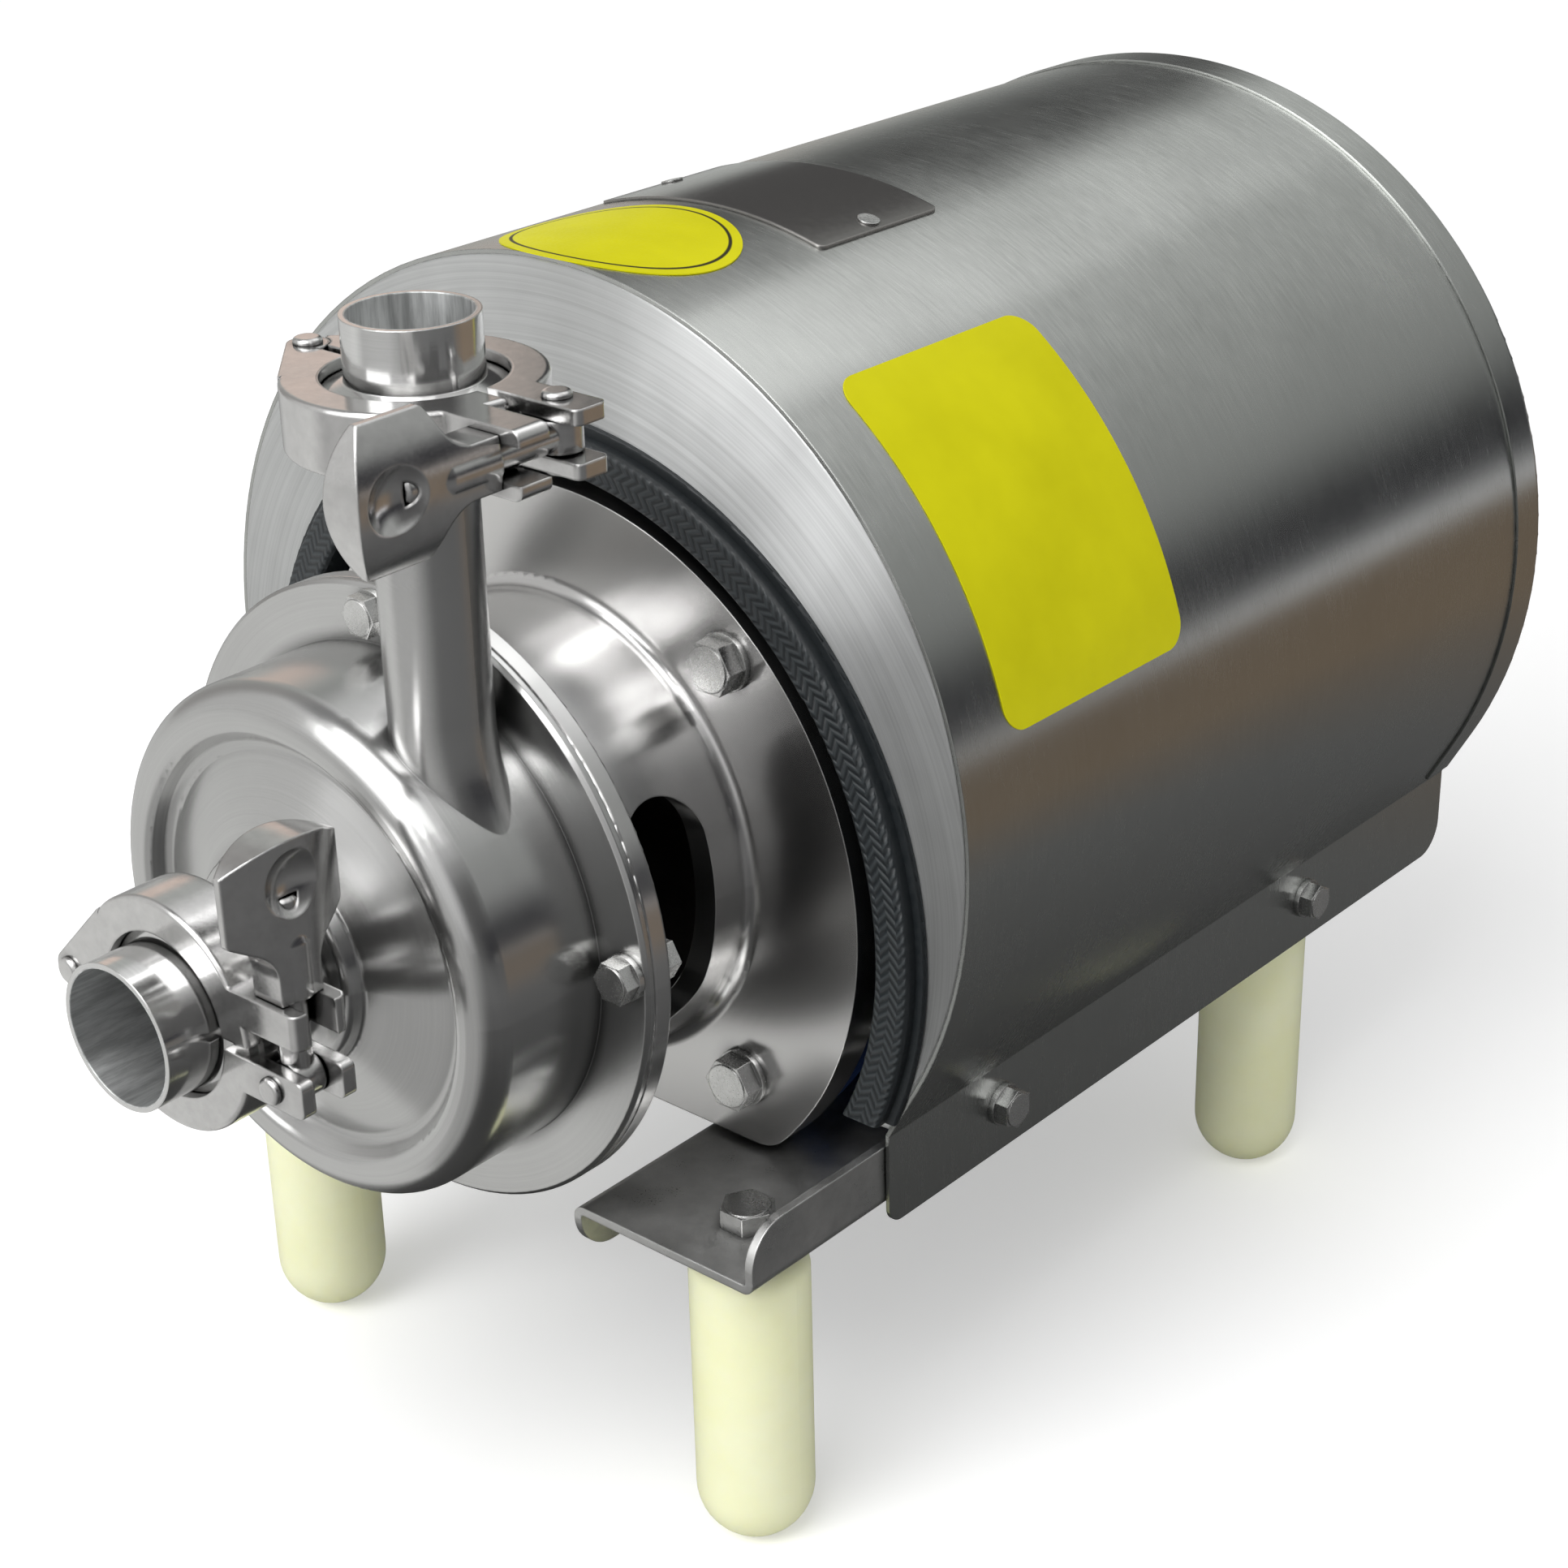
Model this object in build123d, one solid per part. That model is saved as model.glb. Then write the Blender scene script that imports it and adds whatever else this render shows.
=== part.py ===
from build123d import *
import math
import os

# Sanitary centrifugal pump with a close-coupled flange motor under a rolled steel cover.
# Millimetres. The shaft runs along +Y, the discharge port points along +Z, and the origin is the
# centre of the open face of the suction stub.

# Fits and gaps
fit_gap = 0.05          # shaft in hole, bolt in hole, ring in seat
seat_gap = 0.2          # small air gap between pieces of different bodies that face each other
hole_gap = 0.4          # clearance of a bolt in its hole

# Clamp ferrules, shared by both ports
ferrule_d = 50.5
ferrule_rim = 2.85
ferrule_slope = 20.0
tube_wall = 1.5
gasket_t = 1.6
bead_circle_r = 21.75
bead_r = 1.1

# Suction stub
suction_d = 38.1
suction_stub_l = 21.2

# Hinged clamp
clamp_r = 30.5
clamp_w = 16.0
clamp_bore_r = 21.5
clamp_play = 0.3
clamp_hinge_u = 36.0
clamp_knuckle_r = 5.0
clamp_tongue_w = 8.4
clamp_pin_r = 2.5
clamp_pin_head_r = 3.5
clamp_pin_head_t = 1.4
clamp_bolt_u = 38.0
clamp_bolt_drop = 6.5
clamp_split = 1.5
ear_reach = 49.0
ear_depth = 11.0
finger_reach = 49.0
finger_low = 7.0
finger_high = 16.0
slot_w = 8.6
swing_bolt_r = 4.0
swing_bolt_l = 48.0
swing_eye_r = 5.5
nut_stem_r = 6.15
nut_stem_l = 14.0
nut_wing_low = 18.0
nut_tip_h = 35.5
nut_h = 40.5
nut_span = 34.0
nut_t = 11.0
nut_tip_t = 1.8
nut_dish_r = 8.5
nut_dish_depth = 3.4
nut_dish_h = 29.5
nut_bore_l = 25.8

# Casing bowl
bowl_r = 68.5
bowl_wall = 2.5
bowl_front_y = 54.5
bowl_rim_r = 8.0
groove_r = 53.0
groove_y = 60.0
collar_r = 27.5
collar_y = 47.0
flange_r = 84.0
flange_front_y = 92.2
flange_t = 2.5
flange_bevel = 1.0
casing_bolt_circle_r = 77.4
casing_bolts_n = 4
casing_bolt_turn = 2.4

# Discharge pipe
discharge_x = 36.4
discharge_y = 76.2
discharge_pipe_d = 25.4
discharge_d = 32.0
discharge_clamp_z = 142.0
discharge_stub_l = 21.2
outlet_blend_r = 60.0
outlet_sink = 0.5

# Back plate and shaft seal
back_plate_r = 71.5
back_plate_t = 4.0
back_plate_lip = 2.5
o_ring_t = 3.0
o_ring_r = 68.5
seal_boss_r = 27.0
seal_boss_l = 6.0
seat_ring_r = 17.0
seat_ring_l = 8.0
seal_head_r = 15.5
seal_head_l = 6.0
seal_spring_r = 11.2
seal_spring_t = 0.8
seal_wave_h = 1.6
seal_waves_n = 2

# Impeller
impeller_r = 58.0
impeller_disc_t = 3.5
impeller_back_y = 83.0
blade_h = 14.0
blade_t = 3.0
blades_n = 6
hub_r = 15.0
cap_nut_r = 11.0
cap_nut_l = 13.0

# Shafts
motor_shaft_r = 9.5
motor_shaft_l = 40.0
pump_shaft_r = 9.0
pump_shaft_tip_r = 6.0
pump_sleeve_r = 15.0

# Lantern
lantern_front_t = 6.0
lantern_body_r = 62.0
lantern_root_r = 64.5
lantern_bore_r = 57.0
lantern_end_y = 162.5
lantern_flange_r = 99.9
lantern_flange_t = 11.0
flange_centre_z = -6.0
flange_chord_z = -77.8
chord_corner_r = 13.0
window_w = 27.0
window_h = 67.5
window_y = 125.4
window_z = -2.7
spigot_r = 65.0
spigot_t = 3.5
lantern_bolt_circle_r = 84.0
lantern_bolt_turn = 45.8

# Motor
motor_flange_r = 98.0
motor_flange_t = 10.0
front_shield_l = 10.0
housing_r = 70.0
housing_wall = 6.0
housing_l = 166.0
fin_h = 8.5
fin_t = 2.6
fins_n = 40
shaft_height = 80.0
foot_bolt_x = 62.5
foot_bolt_c = 50.0
foot_bolt_b = 100.0
foot_w = 30.0
foot_t = 10.0
foot_overhang = 14.0
foot_corner_r = 4.0
foot_web_t = 7.0
stator_bore_r = 35.2
stator_l = 90.0
winding_l = 19.0
winding_t = 16.0
rotor_gap = 0.5
rotor_ring_l = 8.0
bearing_bore_r = 10.0
bearing_r = 23.5
bearing_w = 14.0
bearing_balls_n = 8
bearing_ball_r = 3.9
rear_shield_l = 14.0
fan_r = 66.0
fan_l = 20.0
fan_blades_n = 7
cowl_t = 1.5
cowl_l = 61.0
cowl_lap = 1.0
cowl_slots_n = 24
cowl_screw_r = 2.0
cowl_screw_l = 9.0
cowl_screw_y = 5.0

# Terminal box on top of the motor
box_w = 92.0
box_l = 96.0
box_h = 34.0
box_wall = 3.0
box_corner_r = 8.0
box_pad_inset = 6.0
box_set_back = 8.0
lid_h = 12.0
lid_screw_inset = 8.0
lid_screw_l = 18.0
gland_r = 11.0
gland_l = 24.0

# Cover
shroud_r = 133.0
shroud_z = 20.0
shroud_t = 1.2
flat_angle = 28.86
shroud_front_y = 154.0
shroud_rear_y = 435.0
skirt_inset = 25.5
skirt_low_z = -87.5
skirt_front_corner_r = 5.0
skirt_rear_corner_r = 10.0
ring_t = 1.5
ring_low_z = -58.0
opening_r = 112.0
opening_z = -7.7
trim_inner_w = 5.1
trim_band_w = 5.5
trim_lip_w = 8.2
trim_rear_w = 4.6
trim_low_z = -55.6
trim_front = 5.0
trim_rear = 7.0
trim_lip_t = 1.3
cap_t = 0.8
cap_end_t = 1.5
cap_end_gap = 0.2
cap_band_l = 15.0
cap_corner_r = 3.0
vent_slots_n = 7
vent_slot_w = 6.0

# Sheets on the cover
plate_y = 238.0
plate_l = 48.0
plate_arc = 34.0
plate_t = 0.8
oval_y = 181.0
oval_l = 56.0
oval_arc = 29.0
label_y = 211.5
label_l = 75.0
label_angle = 55.5
label_arc = 42.0
label_corner_r = 7.0
sticker_t = 0.3

# Base rails and feet
rail_in_x = 44.0
rail_cover_gap = 1.5
rail_t = 2.5
rail_up = 16.0
rail_down = 13.0
rail_front_y = 102.0
rail_rear_y = 385.0
foot_x = 85.0
foot_front_y = 124.0
foot_rear_y = 363.0
foot_r = 16.0
foot_neck_r = 9.5
foot_neck_l = 5.0
foot_shoulder_r = 6.0
foot_low_z = -176.0
foot_flat_r = 5.0
shroud_bolt_front_y = 202.0
shroud_bolt_rear_y = 354.0
shroud_bolt_up = 7.0

# Hexagon bolts: shank radius, width across flats, head height, washer radius
m6 = (3.0, 10.0, 4.0, 6.0)
m8 = (4.0, 13.0, 5.3, 8.0)
washer_t = 1.6

# Places that follow from the sizes above
tan_slope = math.tan(math.radians(ferrule_slope))
suction_clamp_y = suction_stub_l + gasket_t / 2
lantern_front_y = flange_front_y + flange_t
motor_y = lantern_end_y
housing_y = motor_y + motor_flange_t + front_shield_l
housing_end_y = housing_y + housing_l
core_y = housing_y + (housing_l - stator_l) / 2
front_bearing_y = housing_y + 2.0
rear_bearing_y = housing_end_y - bearing_w - 2.0
rear_shield_end_y = housing_end_y + rear_shield_l
cowl_in_r = housing_r + fin_h - cowl_t
shaft_tip_y = motor_y - motor_shaft_l
shaft_rear_y = rear_shield_end_y + fan_l + 4.0
plate_top_z = -shaft_height
plate_low_z = plate_top_z - rail_t
foot_shoulder_z = plate_low_z - foot_neck_l
seat_face_y = lantern_front_y - back_plate_lip + 1.0
bowl_bore_r = bowl_r - bowl_wall
shroud_bolt_z = plate_top_z + shroud_bolt_up
skirt_x = shroud_r - skirt_inset
rail_out_x = skirt_x - rail_cover_gap


def solid_y(radius, y0, y1, x=0.0, z=0.0):
    """Round bar along Y from y0 to y1."""
    return Pos(x, (y0 + y1) / 2, z) * Rot(-90, 0, 0) * Cylinder(radius, y1 - y0)


def ring_y(outer, inner, y0, y1, x=0.0, z=0.0):
    """Round tube along Y from y0 to y1."""
    return solid_y(outer, y0, y1, x, z) - solid_y(inner, y0 - 1, y1 + 1, x, z)


def solid_z(radius, z0, z1, x=0.0, y=0.0):
    """Round bar along Z from z0 to z1."""
    return Pos(x, y, (z0 + z1) / 2) * Cylinder(radius, z1 - z0)


def block(x0, x1, y0, y1, z0, z1):
    """Box between two corners."""
    return Pos((x0 + x1) / 2, (y0 + y1) / 2, (z0 + z1) / 2) * Box(x1 - x0, y1 - y0, z1 - z0)


def lathe(*corners):
    """Solid turned about the Y axis from corners of (radius, y, fillet)."""
    points = [(corner[0], corner[1]) for corner in corners]
    radii = [corner[2] if len(corner) > 2 else 0 for corner in corners]
    return revolve(make_face(FilletPolyline(*points, radius=radii, close=True)), Axis.Y)


def hexagon(size, length):
    """Hexagon prism along +Z, standing on the origin."""
    return extrude(RegularPolygon(size[1] / math.sqrt(3), 6), length)


def bolt(size, length, washer=True):
    """Hexagon bolt whose head stands on z = 0 and whose shank points down."""
    radius, flats, head, washer_r = size
    lift = washer_t if washer else 0
    dome = Pos(0, 0, lift + head) * Cylinder(flats * 0.47, 0.6)
    body = Pos(0, 0, lift) * hexagon(size, head) + dome
    if washer:
        body += Pos(0, 0, washer_t / 2) * Cylinder(washer_r, washer_t)
    return body + Pos(0, 0, -length / 2) * Cylinder(radius, length)


def nut(size, z):
    """Hexagon nut whose top face lies on z."""
    height = size[0] * 1.6
    return Pos(0, 0, z - height) * (hexagon(size, height) - Cylinder(size[0] + fit_gap, 4 * height))


def fastener(size, grip, washer=True):
    """Bolt with its nut under a stack of the given thickness."""
    height = size[0] * 1.6
    return [bolt(size, grip + height + 1.5, washer), nut(size, -grip)]


def group(pieces):
    """Several separate solids as one node."""
    solids = []
    for piece in pieces:
        solids += list(piece.solids())
    return Compound(children=solids)


def ferrule(tube_d, face_y, end_y, bore_d=None):
    """Clamp ferrule on a tube along Y: flat face at face_y, tube end at end_y."""
    side = 1 if end_y > face_y else -1
    rim_r = ferrule_d / 2
    tube_r = tube_d / 2
    bore_r = (bore_d or tube_d - 2 * tube_wall) / 2
    cone = (rim_r - tube_r) * tan_slope
    body = lathe(
        (bore_r, face_y),
        (rim_r, face_y),
        (rim_r, face_y + side * ferrule_rim),
        (tube_r, face_y + side * (ferrule_rim + cone)),
        (tube_r, end_y),
        (bore_r, end_y),
    )
    return body - bead(face_y, bead_r + fit_gap)


def bead(y, radius):
    """Ring of round section that seats in the ferrule's groove."""
    return revolve(Pos(bead_circle_r, y) * Circle(radius), Axis.Y)


def gasket(tube_d, clamp_y):
    """Flat ring between two ferrules, with a bead on each side."""
    half = gasket_t / 2
    bore_r = tube_d / 2 - tube_wall
    flat = ring_y(ferrule_d / 2, bore_r, clamp_y - half, clamp_y + half)
    return flat + bead(clamp_y - half, bead_r) + bead(clamp_y + half, bead_r)


# Hinged clamp, in its own frame: the tube along Y, the bolt side at +X, the nut towards +Z

def jaw_ring():
    """Whole clamp ring with its inner groove for the two ferrule rims."""
    rim_half = gasket_t / 2 + ferrule_rim
    play_r = ferrule_d / 2 + clamp_play
    floor_half = rim_half + clamp_play - clamp_play * tan_slope
    mouth_half = rim_half + clamp_play + (ferrule_d / 2 - clamp_bore_r) * tan_slope
    half = clamp_w / 2
    return lathe(
        (clamp_r, -half, 1.2),
        (clamp_r, half, 1.2),
        (clamp_bore_r, half),
        (clamp_bore_r, mouth_half),
        (play_r, floor_half),
        (play_r, -floor_half),
        (clamp_bore_r, -mouth_half),
        (clamp_bore_r, -half),
    )


def hinge_web():
    """Web over the full width, tangent to the ring and to the hinge eye."""
    lean = math.asin((clamp_r - clamp_knuckle_r) / clamp_hinge_u)
    side_u, side_w = -math.sin(lean), math.cos(lean)
    eye = (clamp_knuckle_r * side_u - clamp_hinge_u, clamp_knuckle_r * side_w)
    ring = (clamp_r * side_u, clamp_r * side_w)
    outline = Polyline(eye, ring, (ring[0], clamp_split), (-clamp_hinge_u, clamp_split), close=True)
    return extrude(Plane.XZ * make_face(outline), clamp_w / 2, both=True)


def eye_ranges(inner):
    """Stretches along the pin taken by a jaw's hinge eyes."""
    edge = clamp_tongue_w / 2
    if inner:
        return [(-edge, edge)]
    return [(-clamp_w / 2, -edge - seat_gap), (edge + seat_gap, clamp_w / 2)]


def with_knuckle(body, inner):
    """Adds a jaw's hinge eyes, clears the other jaw's and bores the pin hole."""
    radius = clamp_knuckle_r + 2 * seat_gap
    for low, high in eye_ranges(not inner):
        if inner:
            low, high = (low - 1, high) if low < 0 else (low, high + 1)
        gap_low = low - seat_gap
        gap_high = high + seat_gap
        body -= solid_y(radius, gap_low, gap_high, -clamp_hinge_u, 0)
        body -= block(-clamp_hinge_u - radius, -clamp_hinge_u, gap_low, gap_high, -radius - 1, radius + 1)
    for low, high in eye_ranges(inner):
        body += solid_y(clamp_knuckle_r, low, high, -clamp_hinge_u, 0)
    return body - solid_y(clamp_pin_r + fit_gap, -clamp_w, clamp_w, -clamp_hinge_u, 0)


def bolt_slot(from_u):
    """Open slot for the swing bolt, cut outwards from from_u."""
    return block(from_u, finger_reach + 5, -slot_w / 2, slot_w / 2, -clamp_r, clamp_r)


def hinged_jaw():
    """Upper jaw with two outer hinge eyes and the two fingers that carry the nut."""
    half = clamp_w / 2
    body = jaw_ring() & block(-clamp_r - 1, clamp_r + 1, -half, half, clamp_split, clamp_r + 1)
    body += hinge_web() - solid_y(clamp_bore_r + 6, -half - 1, half + 1)
    fingers = block(clamp_r - 8, finger_reach, -half, half, finger_low, finger_high)
    fingers = fillet(fingers.edges().filter_by(Axis.Z).group_by(Axis.X)[-1], 2.5)
    fingers -= solid_y(clamp_bore_r + 6, -half - 1, half + 1)
    body += fingers
    slot_from = clamp_bolt_u - swing_bolt_r - 1.0
    finger_room = block(slot_from, finger_reach + 5, -half, half, finger_low - 1, finger_high + 1)
    body -= bolt_slot(slot_from) & finger_room
    return with_knuckle(body, inner=False)


def fixed_jaw():
    """Lower jaw with the middle hinge tongue and the two ears that hold the swing bolt."""
    half = clamp_w / 2
    body = jaw_ring() & block(-clamp_r - 1, clamp_r + 1, -half, half, -clamp_r - 1, -clamp_split)
    body += mirror(hinge_web(), Plane.XY) - solid_y(clamp_bore_r + 6, -half - 1, half + 1)
    ears = block(clamp_r - 9, ear_reach, -half, half, -ear_depth, -clamp_split)
    ears = fillet(ears.edges().filter_by(Axis.Y).group_by(Axis.X)[-1], 2.0)
    ears -= solid_y(clamp_bore_r + 6, -half - 1, half + 1)
    body += ears
    body -= bolt_slot(clamp_bolt_u - swing_eye_r - 1.0)
    body = with_knuckle(body, inner=True)
    return body - solid_y(clamp_pin_r + fit_gap, -clamp_w, clamp_w, clamp_bolt_u, -clamp_bolt_drop)


def clamp_pin(u, w):
    """Riveted pin along Y with a flat domed head at both ends."""
    half = clamp_w / 2
    end = half + seat_gap / 2 + clamp_pin_head_t
    pin = lathe(
        (0, -end),
        (clamp_pin_head_r, -end, 1.0),
        (clamp_pin_head_r, -end + clamp_pin_head_t),
        (clamp_pin_r, -end + clamp_pin_head_t),
        (clamp_pin_r, end - clamp_pin_head_t),
        (clamp_pin_head_r, end - clamp_pin_head_t),
        (clamp_pin_head_r, end, 1.0),
        (0, end),
    )
    return Pos(u, 0, w) * pin


def swing_bolt():
    """Eye bolt that pivots on the lower ears and passes between the fingers."""
    half = slot_w / 2 - 0.5
    low = -clamp_bolt_drop
    body = solid_y(swing_eye_r, -half, half, clamp_bolt_u, low)
    body += solid_z(swing_bolt_r, low, low + swing_bolt_l, clamp_bolt_u, 0)
    body = chamfer(body.edges().filter_by(GeomType.CIRCLE).sort_by(Axis.Z)[-1], 0.8)
    return body - solid_y(clamp_pin_r + fit_gap, -clamp_w, clamp_w, clamp_bolt_u, low)


def wing_nut():
    """Long wing nut: round stem, flared wings with a domed top and a dish in each face."""
    base = finger_high + seat_gap
    wing_low = base + nut_wing_low
    top = base + nut_h
    half = nut_span / 2
    # side view, wings along Y
    profile = FilletPolyline(
        (-nut_stem_r, base),
        (nut_stem_r, base),
        (nut_stem_r, base + nut_stem_l - 2),
        (half, wing_low),
        (half, top),
        (-half, top),
        (-half, wing_low),
        (-nut_stem_r, base + nut_stem_l - 2),
        radius=[0, 0, 9.0, 1.5, 0, 0, 1.5, 9.0],
        close=True,
    )
    wings = extrude(Plane.YZ * make_face(profile), nut_t / 2, both=True)
    # plan view, a lens that is thinnest at the wing tips
    bow = (nut_t - nut_tip_t) / 2
    lens_r = (half * half + bow * bow) / (2 * bow)
    offset = lens_r - nut_t / 2
    wings &= solid_z(lens_r, base - 1, top + 1, offset, 0) & solid_z(lens_r, base - 1, top + 1, -offset, 0)
    # domed top
    rise = nut_h - nut_tip_h
    dome_r = (half * half + rise * rise) / (2 * rise)
    wings &= bar_x(dome_r, -nut_t, nut_t, 0, top - dome_r)
    ball_r = (nut_dish_r ** 2 + nut_dish_depth ** 2) / (2 * nut_dish_depth)
    for side in (-1, 1):
        wings -= Pos(side * (nut_t / 2 - nut_dish_depth + ball_r), 0, base + nut_dish_h) * Sphere(ball_r)
    neck_z = base + nut_stem_l
    stem = solid_z(nut_stem_r, base, neck_z) + Pos(0, 0, neck_z + 3) * Cone(nut_stem_r, nut_t / 2 - 1.2, 6)
    body = wings + stem
    body -= solid_z(swing_bolt_r + fit_gap, base - 1, base + nut_bore_l)
    return Pos(clamp_bolt_u, 0, 0) * body


def clamp_at_suction(piece):
    return Pos(0, suction_clamp_y, 0) * piece


def clamp_at_discharge(piece):
    return Pos(discharge_x, discharge_y, discharge_clamp_z) * Rot(90, 0, 0) * piece


def clamp_parts():
    return {
        "fixed_jaw": fixed_jaw(),
        "hinged_jaw": hinged_jaw(),
        "pins": group([clamp_pin(-clamp_hinge_u, 0), clamp_pin(clamp_bolt_u, -clamp_bolt_drop)]),
        "swing_bolt": swing_bolt(),
        "wing_nut": wing_nut(),
    }


# Wet end

def bowl_outline(inset):
    """Corners of the bowl, turned about Y, moved inwards by the wall."""
    neck_r = suction_d / 2 - (tube_wall if inset else 0)
    back_y = lantern_front_y + (1 if inset else 0)
    return [
        (0, suction_stub_l + gasket_t - (1 if inset else 0)),
        (neck_r, suction_stub_l + gasket_t - (1 if inset else 0)),
        (neck_r, collar_y + inset, 5),
        (collar_r - inset, collar_y + inset, 2.5),
        (collar_r - inset + 1.5, collar_y + 4.5 + inset, 1.5),
        (groove_r, groove_y + inset, 3),
        (groove_r + 4 - inset * 0.5, bowl_front_y + inset, 3),
        (bowl_r - inset, bowl_front_y + inset, bowl_rim_r - inset),
        (bowl_r - inset, back_y),
        (0, back_y),
    ]


def pump_casing():
    """Spun bowl with suction neck, bolting flange and the discharge pipe off its side."""
    face_z = discharge_clamp_z - gasket_t / 2
    shell = lathe(*bowl_outline(0)) + outlet_pipe(discharge_pipe_d / 2, face_z - 1)
    shell -= lathe(*bowl_outline(bowl_wall))
    shell += lathe(
        (bowl_r - 0.5, flange_front_y),
        (flange_r - flange_bevel, flange_front_y),
        (flange_r, flange_front_y + flange_bevel),
        (flange_r, lantern_front_y),
        (bowl_r - 0.5, lantern_front_y),
    )
    neck = ferrule(suction_d, suction_stub_l + gasket_t, collar_y - 4)
    shell += neck
    top = ferrule(discharge_pipe_d, face_z, face_z - 30, discharge_pipe_d - 2 * tube_wall)
    top = Rot(90, 0, 0) * top
    shell += Pos(discharge_x, discharge_y, 0) * top
    shell -= outlet_pipe(discharge_pipe_d / 2 - tube_wall, face_z + 1)
    for x, z in around(casing_bolt_circle_r, casing_bolts_n, casing_bolt_turn):
        shell -= solid_y(m6[0] + hole_gap, flange_front_y - 1, lantern_front_y + 1, x, z)
    return shell


def outlet_pipe(radius, top_z):
    """Discharge pipe, upright above, with a bent foot whose outer side runs smoothly into the bowl."""
    pivot_x = discharge_x + discharge_pipe_d / 2 + outlet_blend_r
    foot_z = math.sqrt((bowl_r + outlet_blend_r - outlet_sink) ** 2 - pivot_x ** 2)
    foot_turn = math.degrees(math.atan2(foot_z, pivot_x))
    section = Pos(discharge_x, discharge_y, foot_z) * Circle(radius)
    foot = revolve(section, Axis((pivot_x, discharge_y, foot_z), (0, -1, 0)), foot_turn)
    return foot + solid_z(radius, foot_z, top_z, discharge_x, discharge_y)


def around(radius, count, start=0.0):
    """Points of a bolt circle as (x, z)."""
    points = []
    for i in range(count):
        angle = math.radians(start + 360.0 * i / count)
        points.append((radius * math.cos(angle), radius * math.sin(angle)))
    return points


def back_plate():
    """Rear wall of the bowl with its register, O-ring groove and seal bore."""
    front = lantern_front_y - back_plate_lip
    rear = lantern_front_y + back_plate_t
    plate = lathe(
        (0, front),
        (bowl_bore_r - 0.2, front),
        (bowl_bore_r - 0.2, lantern_front_y),
        (back_plate_r, lantern_front_y),
        (back_plate_r, rear),
        (seal_boss_r, rear, 2),
        (seal_boss_r, rear + seal_boss_l, 1),
        (0, rear + seal_boss_l),
    )
    half = o_ring_t / 2 + fit_gap
    plate -= ring_y(o_ring_r + half, o_ring_r - half, lantern_front_y - 0.001, lantern_front_y + o_ring_t)
    plate -= solid_y(seat_ring_r + 1.5, front - 1, seat_face_y + seat_ring_l)
    return plate - solid_y(pump_shaft_r + 1.0, front - 1, rear + seal_boss_l + 1)


def casing_o_ring():
    y = lantern_front_y + o_ring_t / 2
    section = Pos(o_ring_r, y) * Circle(o_ring_t / 2 - 0.02)
    return revolve(section, Axis.Y)


def seal_seat():
    """Fixed seal face in the back plate, with a groove for its rubber ring."""
    end = seat_face_y + seat_ring_l
    return lathe(
        (pump_shaft_r + 1.0, seat_face_y),
        (seat_ring_r, seat_face_y, 0.6),
        (seat_ring_r, seat_face_y + 3),
        (seat_ring_r - 2, seat_face_y + 3),
        (seat_ring_r - 2, end),
        (pump_shaft_r + 1.0, end),
    )


def seat_o_ring():
    mid = seat_face_y + 3 + 1.75
    section = Pos(seat_ring_r - 0.2, mid) * Circle(1.65)
    return revolve(section, Axis.Y)


def seal_head():
    """Turning seal ring with its stepped carbon nose."""
    face = seat_face_y - seat_gap
    return lathe(
        (pump_shaft_r + fit_gap, face - seal_head_l),
        (seal_head_r, face - seal_head_l, 0.5),
        (seal_head_r, face - 2),
        (seal_head_r - 2, face - 2),
        (seal_head_r - 2, face),
        (pump_shaft_r + fit_gap, face),
    )


def seal_spring():
    """Corrugated spring sleeve between the impeller hub and the turning seal ring."""
    low = impeller_back_y + 0.1
    high = seat_face_y - seat_gap - seal_head_l - 0.1
    steps = 2 * seal_waves_n
    inner = []
    outer = []
    for i in range(steps + 1):
        y = low + (high - low) * i / steps
        radius = seal_spring_r + (seal_wave_h if i % 2 else 0)
        inner.append((radius, y))
        outer.append((radius + seal_spring_t, y))
    return revolve(make_face(Polyline(*outer, *reversed(inner), close=True)), Axis.Y)


def impeller():
    """Semi-open wheel: disc, hub and backward-curved blades."""
    disc_front = impeller_back_y - impeller_disc_t
    blade_front = disc_front - blade_h
    body = lathe(
        (0, disc_front - 4),
        (hub_r, disc_front - 4, 2),
        (hub_r, disc_front, 2),
        (impeller_r, disc_front, 1),
        (impeller_r, impeller_back_y, 0.5),
        (0, impeller_back_y),
    )
    body += solid_y(hub_r - 1, blade_front - 1, disc_front)
    arc_r = impeller_r * 0.72
    centre_x = impeller_r * 0.52
    centre_z = -impeller_r * 0.42
    arc = Pos(centre_x, centre_z) * (Circle(arc_r + blade_t / 2) - Circle(arc_r - blade_t / 2))
    span = Circle(impeller_r - 0.5) - Circle(hub_r - 4)
    upper = Pos(0, impeller_r) * Rectangle(4 * impeller_r, 2 * impeller_r)
    blade_face = (arc & span) & upper
    faces = sorted(blade_face.faces(), key=lambda face: -face.area)
    blade = extrude(Plane.XZ * faces[0], -blade_h)
    blade = Pos(0, blade_front, 0) * blade
    for i in range(blades_n):
        body += Rot(0, 360.0 * i / blades_n, 0) * blade
    return body - solid_y(pump_shaft_r + fit_gap, blade_front - 8, impeller_back_y + 1)


def impeller_nut():
    """Domed cap nut on the shaft tip, with two flats for the spanner."""
    rear = impeller_back_y - impeller_disc_t - blade_h - 1 - 0.02
    front = rear - cap_nut_l
    body = lathe(
        (0, front),
        (cap_nut_r * 0.75, front, 5),
        (cap_nut_r, front + 7, 3),
        (cap_nut_r, rear),
        (0, rear),
    )
    body &= block(-cap_nut_r, cap_nut_r, front, rear, -cap_nut_r + 1.5, cap_nut_r - 1.5)
    return body - solid_y(pump_shaft_tip_r + fit_gap, front + 3, rear + 1)


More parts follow.
